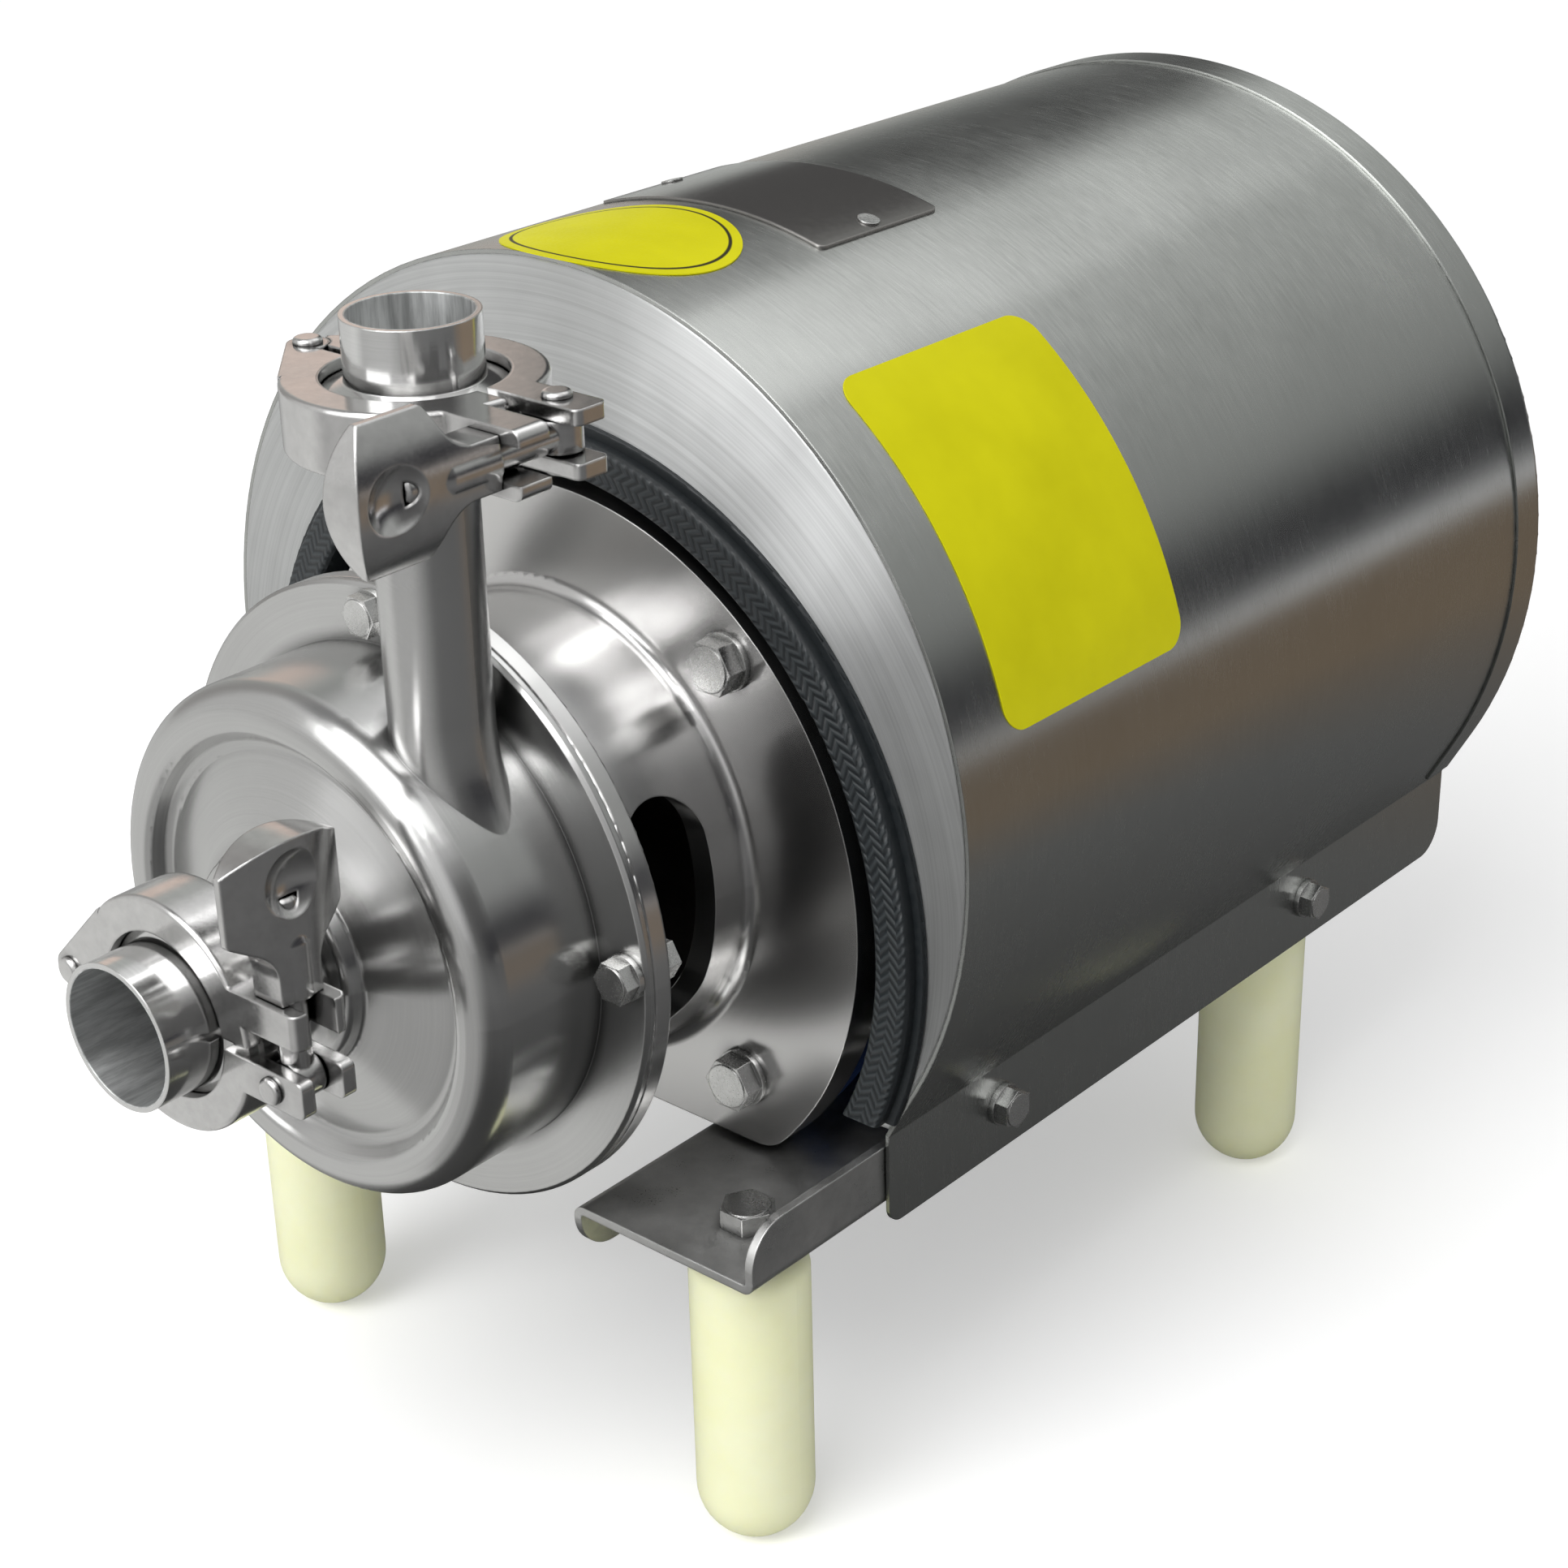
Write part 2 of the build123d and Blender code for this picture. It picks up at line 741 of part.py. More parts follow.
def pump_shaft():
    """Stub shaft: threaded tip, seal and wheel seat, and the sleeve over the motor shaft."""
    wheel_front = impeller_back_y - impeller_disc_t - blade_h - 1
    sleeve_y = lantern_front_y + back_plate_t + seal_boss_l + 2
    body = solid_y(pump_shaft_tip_r, wheel_front - cap_nut_l + 4, wheel_front)
    body += solid_y(pump_shaft_r, wheel_front, sleeve_y)
    body += solid_y(pump_sleeve_r, sleeve_y, motor_y - 8)
    body = chamfer(body.edges().filter_by(GeomType.CIRCLE).sort_by(Axis.Y)[-1], 1.5)
    body -= solid_y(motor_shaft_r + fit_gap / 2, shaft_tip_y - 1, motor_y)
    for y in (motor_y - 20, motor_y - 30):
        body -= solid_z(2.5, motor_shaft_r - 1, pump_sleeve_r + 1, 0, y)
    return body


def casing_bolts():
    """Bolts through the casing flange and the lantern's front flange."""
    pieces = []
    grip = flange_t + lantern_front_t
    for x, z in around(casing_bolt_circle_r, casing_bolts_n, casing_bolt_turn):
        for part in fastener(m6, grip):
            pieces.append(Pos(x, flange_front_y, z) * Rot(90, 0, 0) * part)
    return group(pieces)


def chord_disc(radius, y0, y1):
    """Round flange with a flat cut along its bottom, corners rounded."""
    disc = solid_y(radius, y0, y1, 0, flange_centre_z)
    disc &= block(-radius, radius, y0, y1, flange_chord_z, radius)
    corners = disc.edges().filter_by(Axis.Y).filter_by(GeomType.LINE).group_by(Axis.Z)[0]
    return fillet(corners, chord_corner_r)


def lantern():
    """Adapter between the wet end and the motor flange, open at both sides."""
    front = lantern_front_y
    end = lantern_end_y
    disc_y = end - lantern_flange_t
    body = lathe(
        (lantern_bore_r, front),
        (flange_r, front, 0.8),
        (flange_r, front + lantern_front_t, 0.8),
        (lantern_body_r, front + lantern_front_t, 5),
        (lantern_root_r, disc_y, 4),
        (lantern_root_r + 8, disc_y),
        (lantern_root_r + 8, end),
        (lantern_bore_r, end),
    )
    body += chord_disc(lantern_flange_r, disc_y, end) - solid_y(lantern_root_r + 2, disc_y - 1, end + 1)
    slot = SlotCenterToCenter(window_h - window_w, window_w, 90)
    window = extrude(Plane.YZ * Pos(window_y, window_z) * slot, lantern_flange_r, both=True)
    body -= window
    body -= solid_y(back_plate_r + 0.1, front - 1, front + back_plate_t)
    body -= solid_y(spigot_r + fit_gap, end - spigot_t - 0.3, end + 1)
    for x, z in around(casing_bolt_circle_r, casing_bolts_n, casing_bolt_turn):
        body -= solid_y(m6[0] + hole_gap, front - 1, front + lantern_front_t + 1, x, z)
    for x, z in around(lantern_bolt_circle_r, 4, lantern_bolt_turn):
        body -= solid_y(m8[0] + hole_gap, disc_y - 1, end + 1, x, z)
    return body


def lantern_bolts():
    """Bolts with washers that hold the lantern on the motor flange."""
    pieces = []
    grip = lantern_flange_t + motor_flange_t
    for x, z in around(lantern_bolt_circle_r, 4, lantern_bolt_turn):
        for part in fastener(m8, grip):
            pieces.append(Pos(x, lantern_end_y - lantern_flange_t, z) * Rot(90, 0, 0) * part)
    return group(pieces)


# Motor

def motor_front_shield():
    """Front end shield with the mounting flange, spigot and bearing seat."""
    y = motor_y
    body = chord_disc(motor_flange_r, y, y + motor_flange_t)
    body += solid_y(spigot_r, y - spigot_t, y + 1)
    body += solid_y(housing_r + 4, y + motor_flange_t, housing_y)
    seat_end = front_bearing_y + bearing_w
    body += solid_y(bearing_r + 6, housing_y - 1, seat_end)
    body -= solid_y(bearing_r + fit_gap, front_bearing_y, seat_end + 1)
    body -= solid_y(bearing_bore_r + 3, y - spigot_t - 1, housing_y + 5)
    for x, z in around(lantern_bolt_circle_r, 4, lantern_bolt_turn):
        body -= solid_y(m8[0] + hole_gap, y - 1, y + motor_flange_t + 1, x, z)
        body -= solid_y(m8[1] * 0.62 + 1, y + motor_flange_t, housing_y + 1, x, z)
    return body


def motor_housing():
    """Finned stator frame with two cast feet."""
    y0 = housing_y
    y1 = housing_end_y
    body = solid_y(housing_r, y0, y1)
    fin_out = housing_r + fin_h
    for i in range(fins_n):
        angle = 360.0 * (i + 0.5) / fins_n
        fin = block(housing_r - 1, fin_out, y0 + 6, y1 - 6, -fin_t / 2, fin_t / 2)
        body += Rot(0, angle, 0) * fin
    box_y0, box_y1, box_z = box_frame()
    pad_x = box_w / 2 - box_pad_inset
    body += block(-pad_x, pad_x, box_y0, box_y1, housing_r - 15, box_z)
    y_a = motor_y + foot_bolt_c - foot_overhang
    y_b = motor_y + foot_bolt_c + foot_bolt_b + foot_overhang
    for side in (-1, 1):
        low = block(-foot_w / 2, foot_w / 2, y_a, y_b, plate_top_z, plate_top_z + foot_t)
        low = fillet(low.edges().filter_by(Axis.Z), foot_corner_r)
        body += Pos(side * foot_bolt_x, 0, 0) * low
        web = block(-foot_web_t / 2, foot_web_t / 2, y_a + foot_corner_r, y_b - foot_corner_r,
                    plate_top_z + foot_t - 1, -housing_r * 0.57)
        body += Pos(side * (foot_bolt_x - foot_w / 2 + foot_web_t / 2), 0, 0) * web
    body -= solid_y(housing_r - housing_wall, y0 - 1, y1 + 1)
    for side in (-1, 1):
        for y in foot_bolt_places():
            hole = solid_z(m8[0] + hole_gap, plate_top_z - 1, plate_top_z + foot_t + 1)
            body -= Pos(side * foot_bolt_x, y, 0) * hole
    return body


def foot_bolt_places():
    first = motor_y + foot_bolt_c
    return (first, first + foot_bolt_b)


def motor_rear_shield():
    """Rear end shield with the bearing seat."""
    y = housing_end_y
    rim_r = cowl_in_r - fit_gap
    body = lathe(
        (0, y),
        (rim_r, y),
        (rim_r, y + rear_shield_l, 5),
        (0, y + rear_shield_l),
    )
    seat_y = rear_bearing_y
    body += solid_y(bearing_r + 6, seat_y, y + 1)
    body -= solid_y(bearing_r + fit_gap, seat_y - 1, seat_y + bearing_w)
    for place in cowl_screw_places():
        body -= place * solid_z(cowl_screw_r, rim_r - cowl_screw_l, rim_r + 1)
    return body - solid_y(bearing_bore_r + 1, y - 20, y + rear_shield_l + 1)


def cowl_screw_places():
    """Where the cowl's screws stand, each with its +Z pointing out of the rim."""
    y = housing_end_y + cowl_screw_y
    return [Rot(0, 45 + 90 * i, 0) * Pos(0, y, 0) for i in range(4)]


def cowl_screws():
    """Button-head screws through the cowl's rim into the rear end shield."""
    outer = cowl_in_r + cowl_t
    head = solid_z(1.9 * cowl_screw_r, outer, outer + cowl_screw_r)
    head = fillet(head.edges().group_by(Axis.Z)[-1], cowl_screw_r * 0.6)
    screw = head + solid_z(cowl_screw_r - fit_gap, cowl_in_r - cowl_screw_l + 1, outer)
    return group([place * screw for place in cowl_screw_places()])


def stator_core():
    outer = housing_r - housing_wall - fit_gap
    return ring_y(outer, stator_bore_r, core_y, core_y + stator_l)


def stator_windings():
    """End turns of the copper coils at both ends of the core."""
    inner = stator_bore_r + 4
    outer = inner + winding_t
    pieces = []
    for y0, y1 in ((core_y - winding_l, core_y), (core_y + stator_l, core_y + stator_l + winding_l)):
        coil = ring_y(outer, inner, y0, y1)
        edges = coil.edges().filter_by(GeomType.CIRCLE).group_by(Axis.Y)[0 if y0 < core_y else -1]
        pieces.append(fillet(edges, 4))
    return group(pieces)


def rotor_core():
    """Laminated rotor with its short-circuit rings."""
    radius = stator_bore_r - rotor_gap
    body = solid_y(radius, core_y, core_y + stator_l)
    y0 = core_y - rotor_ring_l
    y1 = core_y + stator_l + rotor_ring_l
    body += solid_y(radius - 4, y0, y1)
    return body - solid_y(bearing_bore_r + 3 + fit_gap, y0 - 1, y1 + 1)


def motor_shaft():
    """Motor shaft, thicker under the rotor, with bearing seats and both ends."""
    mid0 = front_bearing_y + bearing_w
    mid1 = rear_bearing_y
    body = solid_y(motor_shaft_r, shaft_tip_y, front_bearing_y - 6)
    body += solid_y(bearing_bore_r, front_bearing_y - 6, mid0)
    body += solid_y(bearing_bore_r + 3, mid0, mid1)
    body += solid_y(bearing_bore_r, mid1, rear_shield_end_y)
    body += solid_y(motor_shaft_r - 1.5, rear_shield_end_y, shaft_rear_y)
    return chamfer(body.edges().filter_by(GeomType.CIRCLE).sort_by(Axis.Y)[0], 1.0)


def bearing_outer(y):
    outer = bearing_r
    groove = (bearing_bore_r + bearing_r) / 2
    ring = ring_y(outer, groove + bearing_ball_r * 0.55, y, y + bearing_w)
    track = Pos(groove, y + bearing_w / 2) * Circle(bearing_ball_r + fit_gap)
    return ring - revolve(track, Axis.Y)


def bearing_inner(y):
    groove = (bearing_bore_r + bearing_r) / 2
    ring = ring_y(groove - bearing_ball_r * 0.55, bearing_bore_r + fit_gap / 2, y, y + bearing_w)
    track = Pos(groove, y + bearing_w / 2) * Circle(bearing_ball_r + fit_gap)
    return ring - revolve(track, Axis.Y)


def bearing_balls(y):
    groove = (bearing_bore_r + bearing_r) / 2
    ball = Sphere(bearing_ball_r)
    return [Pos(x, y + bearing_w / 2, z) * ball for x, z in around(groove, bearing_balls_n)]


def cooling_fan():
    """Radial fan behind the rear end shield."""
    y0 = rear_shield_end_y + 1.5
    y1 = y0 + fan_l
    hub = motor_shaft_r + 5
    body = lathe(
        (0, y0),
        (fan_r, y0),
        (fan_r, y0 + 2),
        (hub, y0 + 4, 2),
        (hub, y1),
        (0, y1),
    )
    blade = block(hub - 1, fan_r - 1, y0 + 1, y1 - 1, -1.2, 1.2)
    for i in range(fan_blades_n):
        body += Rot(0, 360.0 * i / fan_blades_n, 0) * blade
    return body - solid_y(motor_shaft_r - 1.5 + fit_gap / 2, y0 - 1, y1 + 1)


def fan_cowl():
    """Pressed cover over the fan, with a ring of air slots in its end."""
    y0 = housing_end_y + cowl_lap
    y1 = y0 + cowl_l
    outer = cowl_in_r + cowl_t
    body = lathe((0, y0), (outer, y0), (outer, y1, 8), (0, y1))
    body -= lathe((0, y0 - 1), (cowl_in_r, y0 - 1), (cowl_in_r, y1 - cowl_t, 6.5), (0, y1 - cowl_t))
    slot = block(18, outer - 18, y1 - 5, y1 + 1, -1.6, 1.6)
    for i in range(cowl_slots_n):
        body -= Rot(0, 360.0 * i / cowl_slots_n, 0) * slot
    for place in cowl_screw_places():
        body -= place * solid_z(cowl_screw_r + fit_gap, cowl_in_r - 2, outer + 2)
    return body


def box_frame():
    """Place of the terminal box: its y range and its base height."""
    y0 = core_y - box_set_back
    return y0, y0 + box_l, housing_r + fin_h + 0.5


def terminal_box():
    y0, y1, z0 = box_frame()
    half = box_w / 2
    body = block(-half, half, y0, y1, z0, z0 + box_h)
    body = fillet(body.edges().filter_by(Axis.Z), box_corner_r)
    inner = half - box_wall
    body -= block(-inner, inner, y0 + box_wall, y1 - box_wall, z0 + box_wall, z0 + box_h + 1)
    for x, y in lid_screw_places():
        body += solid_z(5.5, z0 + 1, z0 + box_h, x, y)
        body -= solid_z(2 + hole_gap, z0 + 10, z0 + box_h + 1, x, y)
    return body - gland_bar(gland_r * 0.7 + fit_gap, -half - 1, -half + box_wall + 1)


def gland_bar(radius, x0, x1):
    """Round bar along X at the cable entry."""
    y0, y1, z0 = box_frame()
    return Pos((x0 + x1) / 2, (y0 + y1) / 2, z0 + box_h / 2) * Rot(0, 90, 0) * Cylinder(radius, x1 - x0)


def cable_gland():
    half = box_w / 2
    out = -half - gland_l
    y0, y1, z0 = box_frame()
    hexagon_bar = Rot(0, 90, 0) * extrude(RegularPolygon(gland_r, 6), 5, both=True)
    hexagon_bar = Pos(-half - 4, (y0 + y1) / 2, z0 + box_h / 2) * hexagon_bar
    body = gland_bar(gland_r, -half - 8, -half) & hexagon_bar
    body += gland_bar(gland_r - 1.5, out + 3, -half - 8) + gland_bar(gland_r - 3, out, out + 3)
    body += gland_bar(gland_r * 0.7, -half, -half + box_wall + 4)
    return body - gland_bar(gland_r * 0.4, out - 1, -half + box_wall + 5)


def terminal_lid():
    y0, y1, z0 = box_frame()
    half = box_w / 2
    low = z0 + box_h
    body = block(-half, half, y0, y1, low, low + lid_h)
    body = fillet(body.edges().filter_by(Axis.Z), box_corner_r)
    body = fillet(body.edges().group_by(Axis.Z)[-1], 3)
    body -= block(-half + 12, half - 12, y0 + 12, y1 - 12, low - 1, low + lid_h - 3)
    for x, y in lid_screw_places():
        body -= solid_z(2 + hole_gap, low - 1, low + lid_h + 1, x, y)
        body -= solid_z(4.2, low + lid_h - 4, low + lid_h + 1, x, y)
    return body


def lid_screw_places():
    y0, y1, _ = box_frame()
    x = box_w / 2 - lid_screw_inset
    return [(side * x, y) for side in (-1, 1) for y in (y0 + lid_screw_inset, y1 - lid_screw_inset)]


def lid_screws():
    _, _, z0 = box_frame()
    seat = z0 + box_h + lid_h - 4
    pieces = []
    for x, y in lid_screw_places():
        screw = solid_z(3.6, seat, seat + 2.6, x, y) + solid_z(2, seat - lid_screw_l, seat, x, y)
        screw -= block(x - 3, x + 3, y - 0.5, y + 0.5, seat + 1.4, seat + 3)
        pieces.append(screw)
    return group(pieces)


def motor_foot_bolts():
    pieces = []
    for side in (-1, 1):
        for y in foot_bolt_places():
            for part in fastener(m8, foot_t + rail_t):
                pieces.append(Pos(side * foot_bolt_x, y, plate_top_z + foot_t) * part)
    return group(pieces)


# Base

def base_rail(side):
    """Bent Z-section rail: flat under the motor foot, outer edge up, inner edge down."""
    section = FilletPolyline(
        (rail_out_x, plate_top_z + rail_up),
        (rail_out_x, plate_low_z),
        (rail_in_x + rail_t, plate_low_z),
        (rail_in_x + rail_t, plate_low_z - rail_down),
        (rail_in_x, plate_low_z - rail_down),
        (rail_in_x, plate_top_z),
        (rail_out_x - rail_t, plate_top_z),
        (rail_out_x - rail_t, plate_top_z + rail_up),
        radius=[0, rail_t + 1, 1, 0, 0, rail_t + 1, 1, 0],
        close=True,
    )
    body = extrude(Plane.XZ * make_face(section), -(rail_rear_y - rail_front_y))
    body = Pos(0, rail_front_y, 0) * body
    body -= rail_end_cut(rail_out_x, plate_top_z + rail_up, 1)
    body -= rail_end_cut(rail_in_x, plate_low_z - rail_down, -1)
    for y in (foot_front_y, foot_rear_y):
        body -= solid_z(m8[0] + hole_gap, plate_low_z - 1, plate_top_z + 1, foot_x, y)
    for y in foot_bolt_places():
        body -= solid_z(m8[0] + hole_gap, plate_low_z - 1, plate_top_z + 1, foot_bolt_x, y)
    for y in (shroud_bolt_front_y, shroud_bolt_rear_y):
        body -= bar_x(m6[0] + hole_gap, rail_out_x - rail_t - 1, rail_out_x + 1, y, shroud_bolt_z)
    return body if side > 0 else mirror(body, Plane.YZ)


def rail_end_cut(x, z, up):
    """Rounds the free corner of a rail edge at both of its ends."""
    radius = rail_up * 0.72
    cuts = None
    for y, out in ((rail_front_y, -1), (rail_rear_y, 1)):
        corner = block(x - 5, x + 5, min(y, y - out * radius), max(y, y - out * radius),
                       min(z, z - up * radius), max(z, z - up * radius))
        corner -= bar_x(radius, x - 6, x + 6, y - out * radius, z - up * radius)
        cuts = corner if cuts is None else cuts + corner
    return cuts


def bar_x(radius, x0, x1, y, z):
    """Round bar along X from x0 to x1."""
    return Pos((x0 + x1) / 2, y, z) * Rot(0, 90, 0) * Cylinder(radius, x1 - x0)


def nylon_feet():
    """Four round feet with a domed bottom and a small neck under the rail."""
    centre_z = foot_low_z + math.sqrt(foot_r ** 2 - foot_flat_r ** 2)
    side_top = (foot_r, foot_shoulder_z - foot_shoulder_r)
    outline = make_face(
        Polyline((0, plate_low_z), (foot_neck_r, plate_low_z), (foot_neck_r, foot_shoulder_z),
                 (foot_r - foot_shoulder_r, foot_shoulder_z))
        + RadiusArc((foot_r - foot_shoulder_r, foot_shoulder_z), side_top, foot_shoulder_r)
        + Line(side_top, (foot_r, centre_z))
        + RadiusArc((foot_r, centre_z), (foot_flat_r, foot_low_z), foot_r)
        + Polyline((foot_flat_r, foot_low_z), (0, foot_low_z), (0, plate_low_z))
    )
    foot = revolve(Plane.XZ * outline, Axis.Z)
    foot -= solid_z(m8[0] + fit_gap, plate_low_z - 32, plate_low_z + 1)
    return group([Pos(side * foot_x, y, 0) * foot for side in (-1, 1) for y in (foot_front_y, foot_rear_y)])


def foot_bolts():
    pieces = []
    for side in (-1, 1):
        for y in (foot_front_y, foot_rear_y):
            pieces.append(Pos(side * foot_x, y, plate_top_z) * bolt(m8, rail_t + 30, washer=False))
    return group(pieces)


# Cover

def shroud_section(inset, low_z):
    """Cross-section of the cover: a round top, a flat under it on each side, then straight skirts."""
    along = math.cos(math.radians(flat_angle))
    down = math.sin(math.radians(flat_angle))
    radius = shroud_r - inset
    half = skirt_x - inset
    touch = (radius * along, shroud_z - radius * down)
    crease_z = shroud_z - (radius - half * along) / down
    left_touch = (-touch[0], touch[1])
    arc = ThreePointArc(touch, (0, shroud_z + radius), left_touch)
    sides = Polyline(left_touch, (-half, crease_z), (-half, low_z), (half, low_z), (half, crease_z), touch)
    return make_face(arc + sides)


def cover_slice(inset, y0, y1, low_z):
    """Solid filling the cover's cross-section between two places along Y."""
    return Pos(0, y0, 0) * extrude(Plane.XZ * shroud_section(inset, low_z), -(y1 - y0))


def shroud_shell():
    """Rolled sheet over the motor with two skirts outside the rails."""
    body = cover_slice(0, shroud_front_y, shroud_rear_y, skirt_low_z)
    body -= cover_slice(shroud_t, shroud_front_y - 1, shroud_rear_y + 1, skirt_low_z - 1)
    for y, radius in ((shroud_front_y, skirt_front_corner_r), (shroud_rear_y, skirt_rear_corner_r)):
        corners = [edge for edge in body.edges().filter_by(Axis.X)
                   if abs(edge.center().Z - skirt_low_z) < 0.1 and abs(edge.center().Y - y) < 0.1]
        body = fillet(corners, radius)
    for y in (shroud_bolt_front_y, shroud_bolt_rear_y):
        body -= bar_x(m6[0] + hole_gap, -skirt_x - 1, skirt_x + 1, y, shroud_bolt_z)
    return body


def above_ring_low(y0, y1):
    """Room above the lower edge of the front ring and the rear cap."""
    reach = shroud_r + 10
    return block(-reach, reach, y0 - 1, y1 + 1, ring_low_z, shroud_z + reach)


def shroud_front_ring():
    """Crescent plate that closes the front of the cover round the lantern."""
    y0 = shroud_front_y
    y1 = y0 + ring_t
    body = cover_slice(shroud_t + 0.02, y0, y1, skirt_low_z) & above_ring_low(y0, y1)
    return body - solid_y(opening_r, y0 - 1, y1 + 1, 0, opening_z)


def opening_trim():
    """Rubber edge strip pushed over the rim of the front opening: a thick band with a thin lip round it."""
    front = shroud_front_y - trim_front
    lip_y = shroud_front_y - trim_lip_t
    groove_y = shroud_front_y - fit_gap
    groove_end_y = shroud_front_y + ring_t + fit_gap
    rear = shroud_front_y + ring_t + trim_rear
    inner_r = opening_r - trim_inner_w
    band_r = opening_r + trim_band_w
    lip_r = opening_r + trim_lip_w
    rear_r = opening_r + trim_rear_w
    body = lathe(
        (inner_r, front, 1.5),
        (band_r, front, 1.5),
        (band_r, lip_y),
        (lip_r, lip_y, 0.6),
        (lip_r, groove_y),
        (opening_r - fit_gap, groove_y),
        (opening_r - fit_gap, groove_end_y),
        (rear_r, groove_end_y),
        (rear_r, rear, 1.6),
        (inner_r, rear, 1.6),
    )
    body = Pos(0, 0, opening_z) * body
    return body & block(-lip_r - 1, lip_r + 1, front - 1, rear + 1, trim_low_z, lip_r)


def shroud_rear_cap():
    """Pressed end cap with a band over the cover's rear edge and rows of air slots."""
    y1 = shroud_rear_y + cap_end_gap + cap_end_t
    y0 = y1 - cap_band_l
    body = cover_slice(-cap_t, y0, y1, skirt_low_z)
    end_edges = body.edges().group_by(Axis.Y)[-1]
    rim = [edge for edge in end_edges if edge.center().Z > ring_low_z]
    body = fillet(rim, cap_corner_r)
    body -= cover_slice(-0.02, y0 - 1, y1 - cap_end_t, skirt_low_z - 1)
    body &= above_ring_low(y0, y1)
    pitch = 2.6 * vent_slot_w
    for i in range(vent_slots_n):
        z = pitch * (i - (vent_slots_n - 1) / 2) + shroud_z * 0.25
        reach = math.sqrt((housing_r + fin_h) ** 2 - (pitch * (i - (vent_slots_n - 1) / 2)) ** 2)
        slot = extrude(Plane.XZ * Pos(0, z) * SlotOverall(2 * reach, vent_slot_w), 6, both=True)
        body -= Pos(0, y1, 0) * slot
    return body


def shroud_bolts():
    """Bolts with washers through the skirts and the rails' upright edges."""
    pieces = []
    grip = skirt_x - rail_out_x + rail_t
    for side in (-1, 1):
        for y in (shroud_bolt_front_y, shroud_bolt_rear_y):
            for part in fastener(m6, grip):
                pieces.append(Pos(side * skirt_x, y, shroud_bolt_z) * Rot(0, side * 90, 0) * part)
    return group(pieces)


def cover_patch(y, length, angle, arc, thickness, corner):
    """Thin sheet on the round of the cover, angle measured from the top."""
    low = shroud_r + 0.02
    half = low * math.sin(math.radians(arc / 2))
    if corner is None:
        outline = Ellipse(half, length / 2)
    else:
        outline = RectangleRounded(2 * half, length, corner)
    plug = extrude(Pos(0, y, 0) * outline, shroud_r + 10)
    tube = ring_y(low + thickness, low, y - length, y + length)
    return Pos(0, 0, shroud_z) * Rot(0, angle, 0) * (tube & plug)


def nameplate():
    plate = cover_patch(plate_y, plate_l, 0, plate_arc, plate_t, 2.0)
    for side in (-1, 1):
        plate -= rivet_shape(side, hole_gap / 2)
    return plate


def rivet_shape(side, grow=0.0):
    """Small rivet near one end of the nameplate."""
    angle = side * (plate_arc / 2 - 2)
    shank = solid_z(1.5 + grow, shroud_r - shroud_t - 0.5, shroud_r + plate_t + 0.5, 0, plate_y)
    if not grow:
        shank += Pos(0, plate_y, shroud_r + plate_t + 0.3) * Cylinder(3.0, 0.5)
        shank = shank - solid_z(5, 0, shroud_r + 0.02, 0, plate_y)
    return Pos(0, 0, shroud_z) * Rot(0, angle, 0) * shank


def nameplate_rivets():
    return group([rivet_shape(side) for side in (-1, 1)])


def oval_sticker():
    return cover_patch(oval_y, oval_l, 0, oval_arc, sticker_t, None)


def side_sticker():
    return cover_patch(label_y, label_l, label_angle, label_arc, sticker_t, label_corner_r)


def stub(tube_d, length):
    """Weld stub with its ferrule, open end at y = 0 and ferrule face at y = length."""
    return ferrule(tube_d, length, 0)


def discharge_stub():
    end = discharge_clamp_z + gasket_t / 2 + discharge_stub_l
    return Pos(discharge_x, discharge_y, end) * Rot(-90, 0, 0) * stub(discharge_d, discharge_stub_l)


def discharge_gasket():
    return Pos(discharge_x, discharge_y, discharge_clamp_z) * Rot(90, 0, 0) * gasket(discharge_pipe_d, 0)


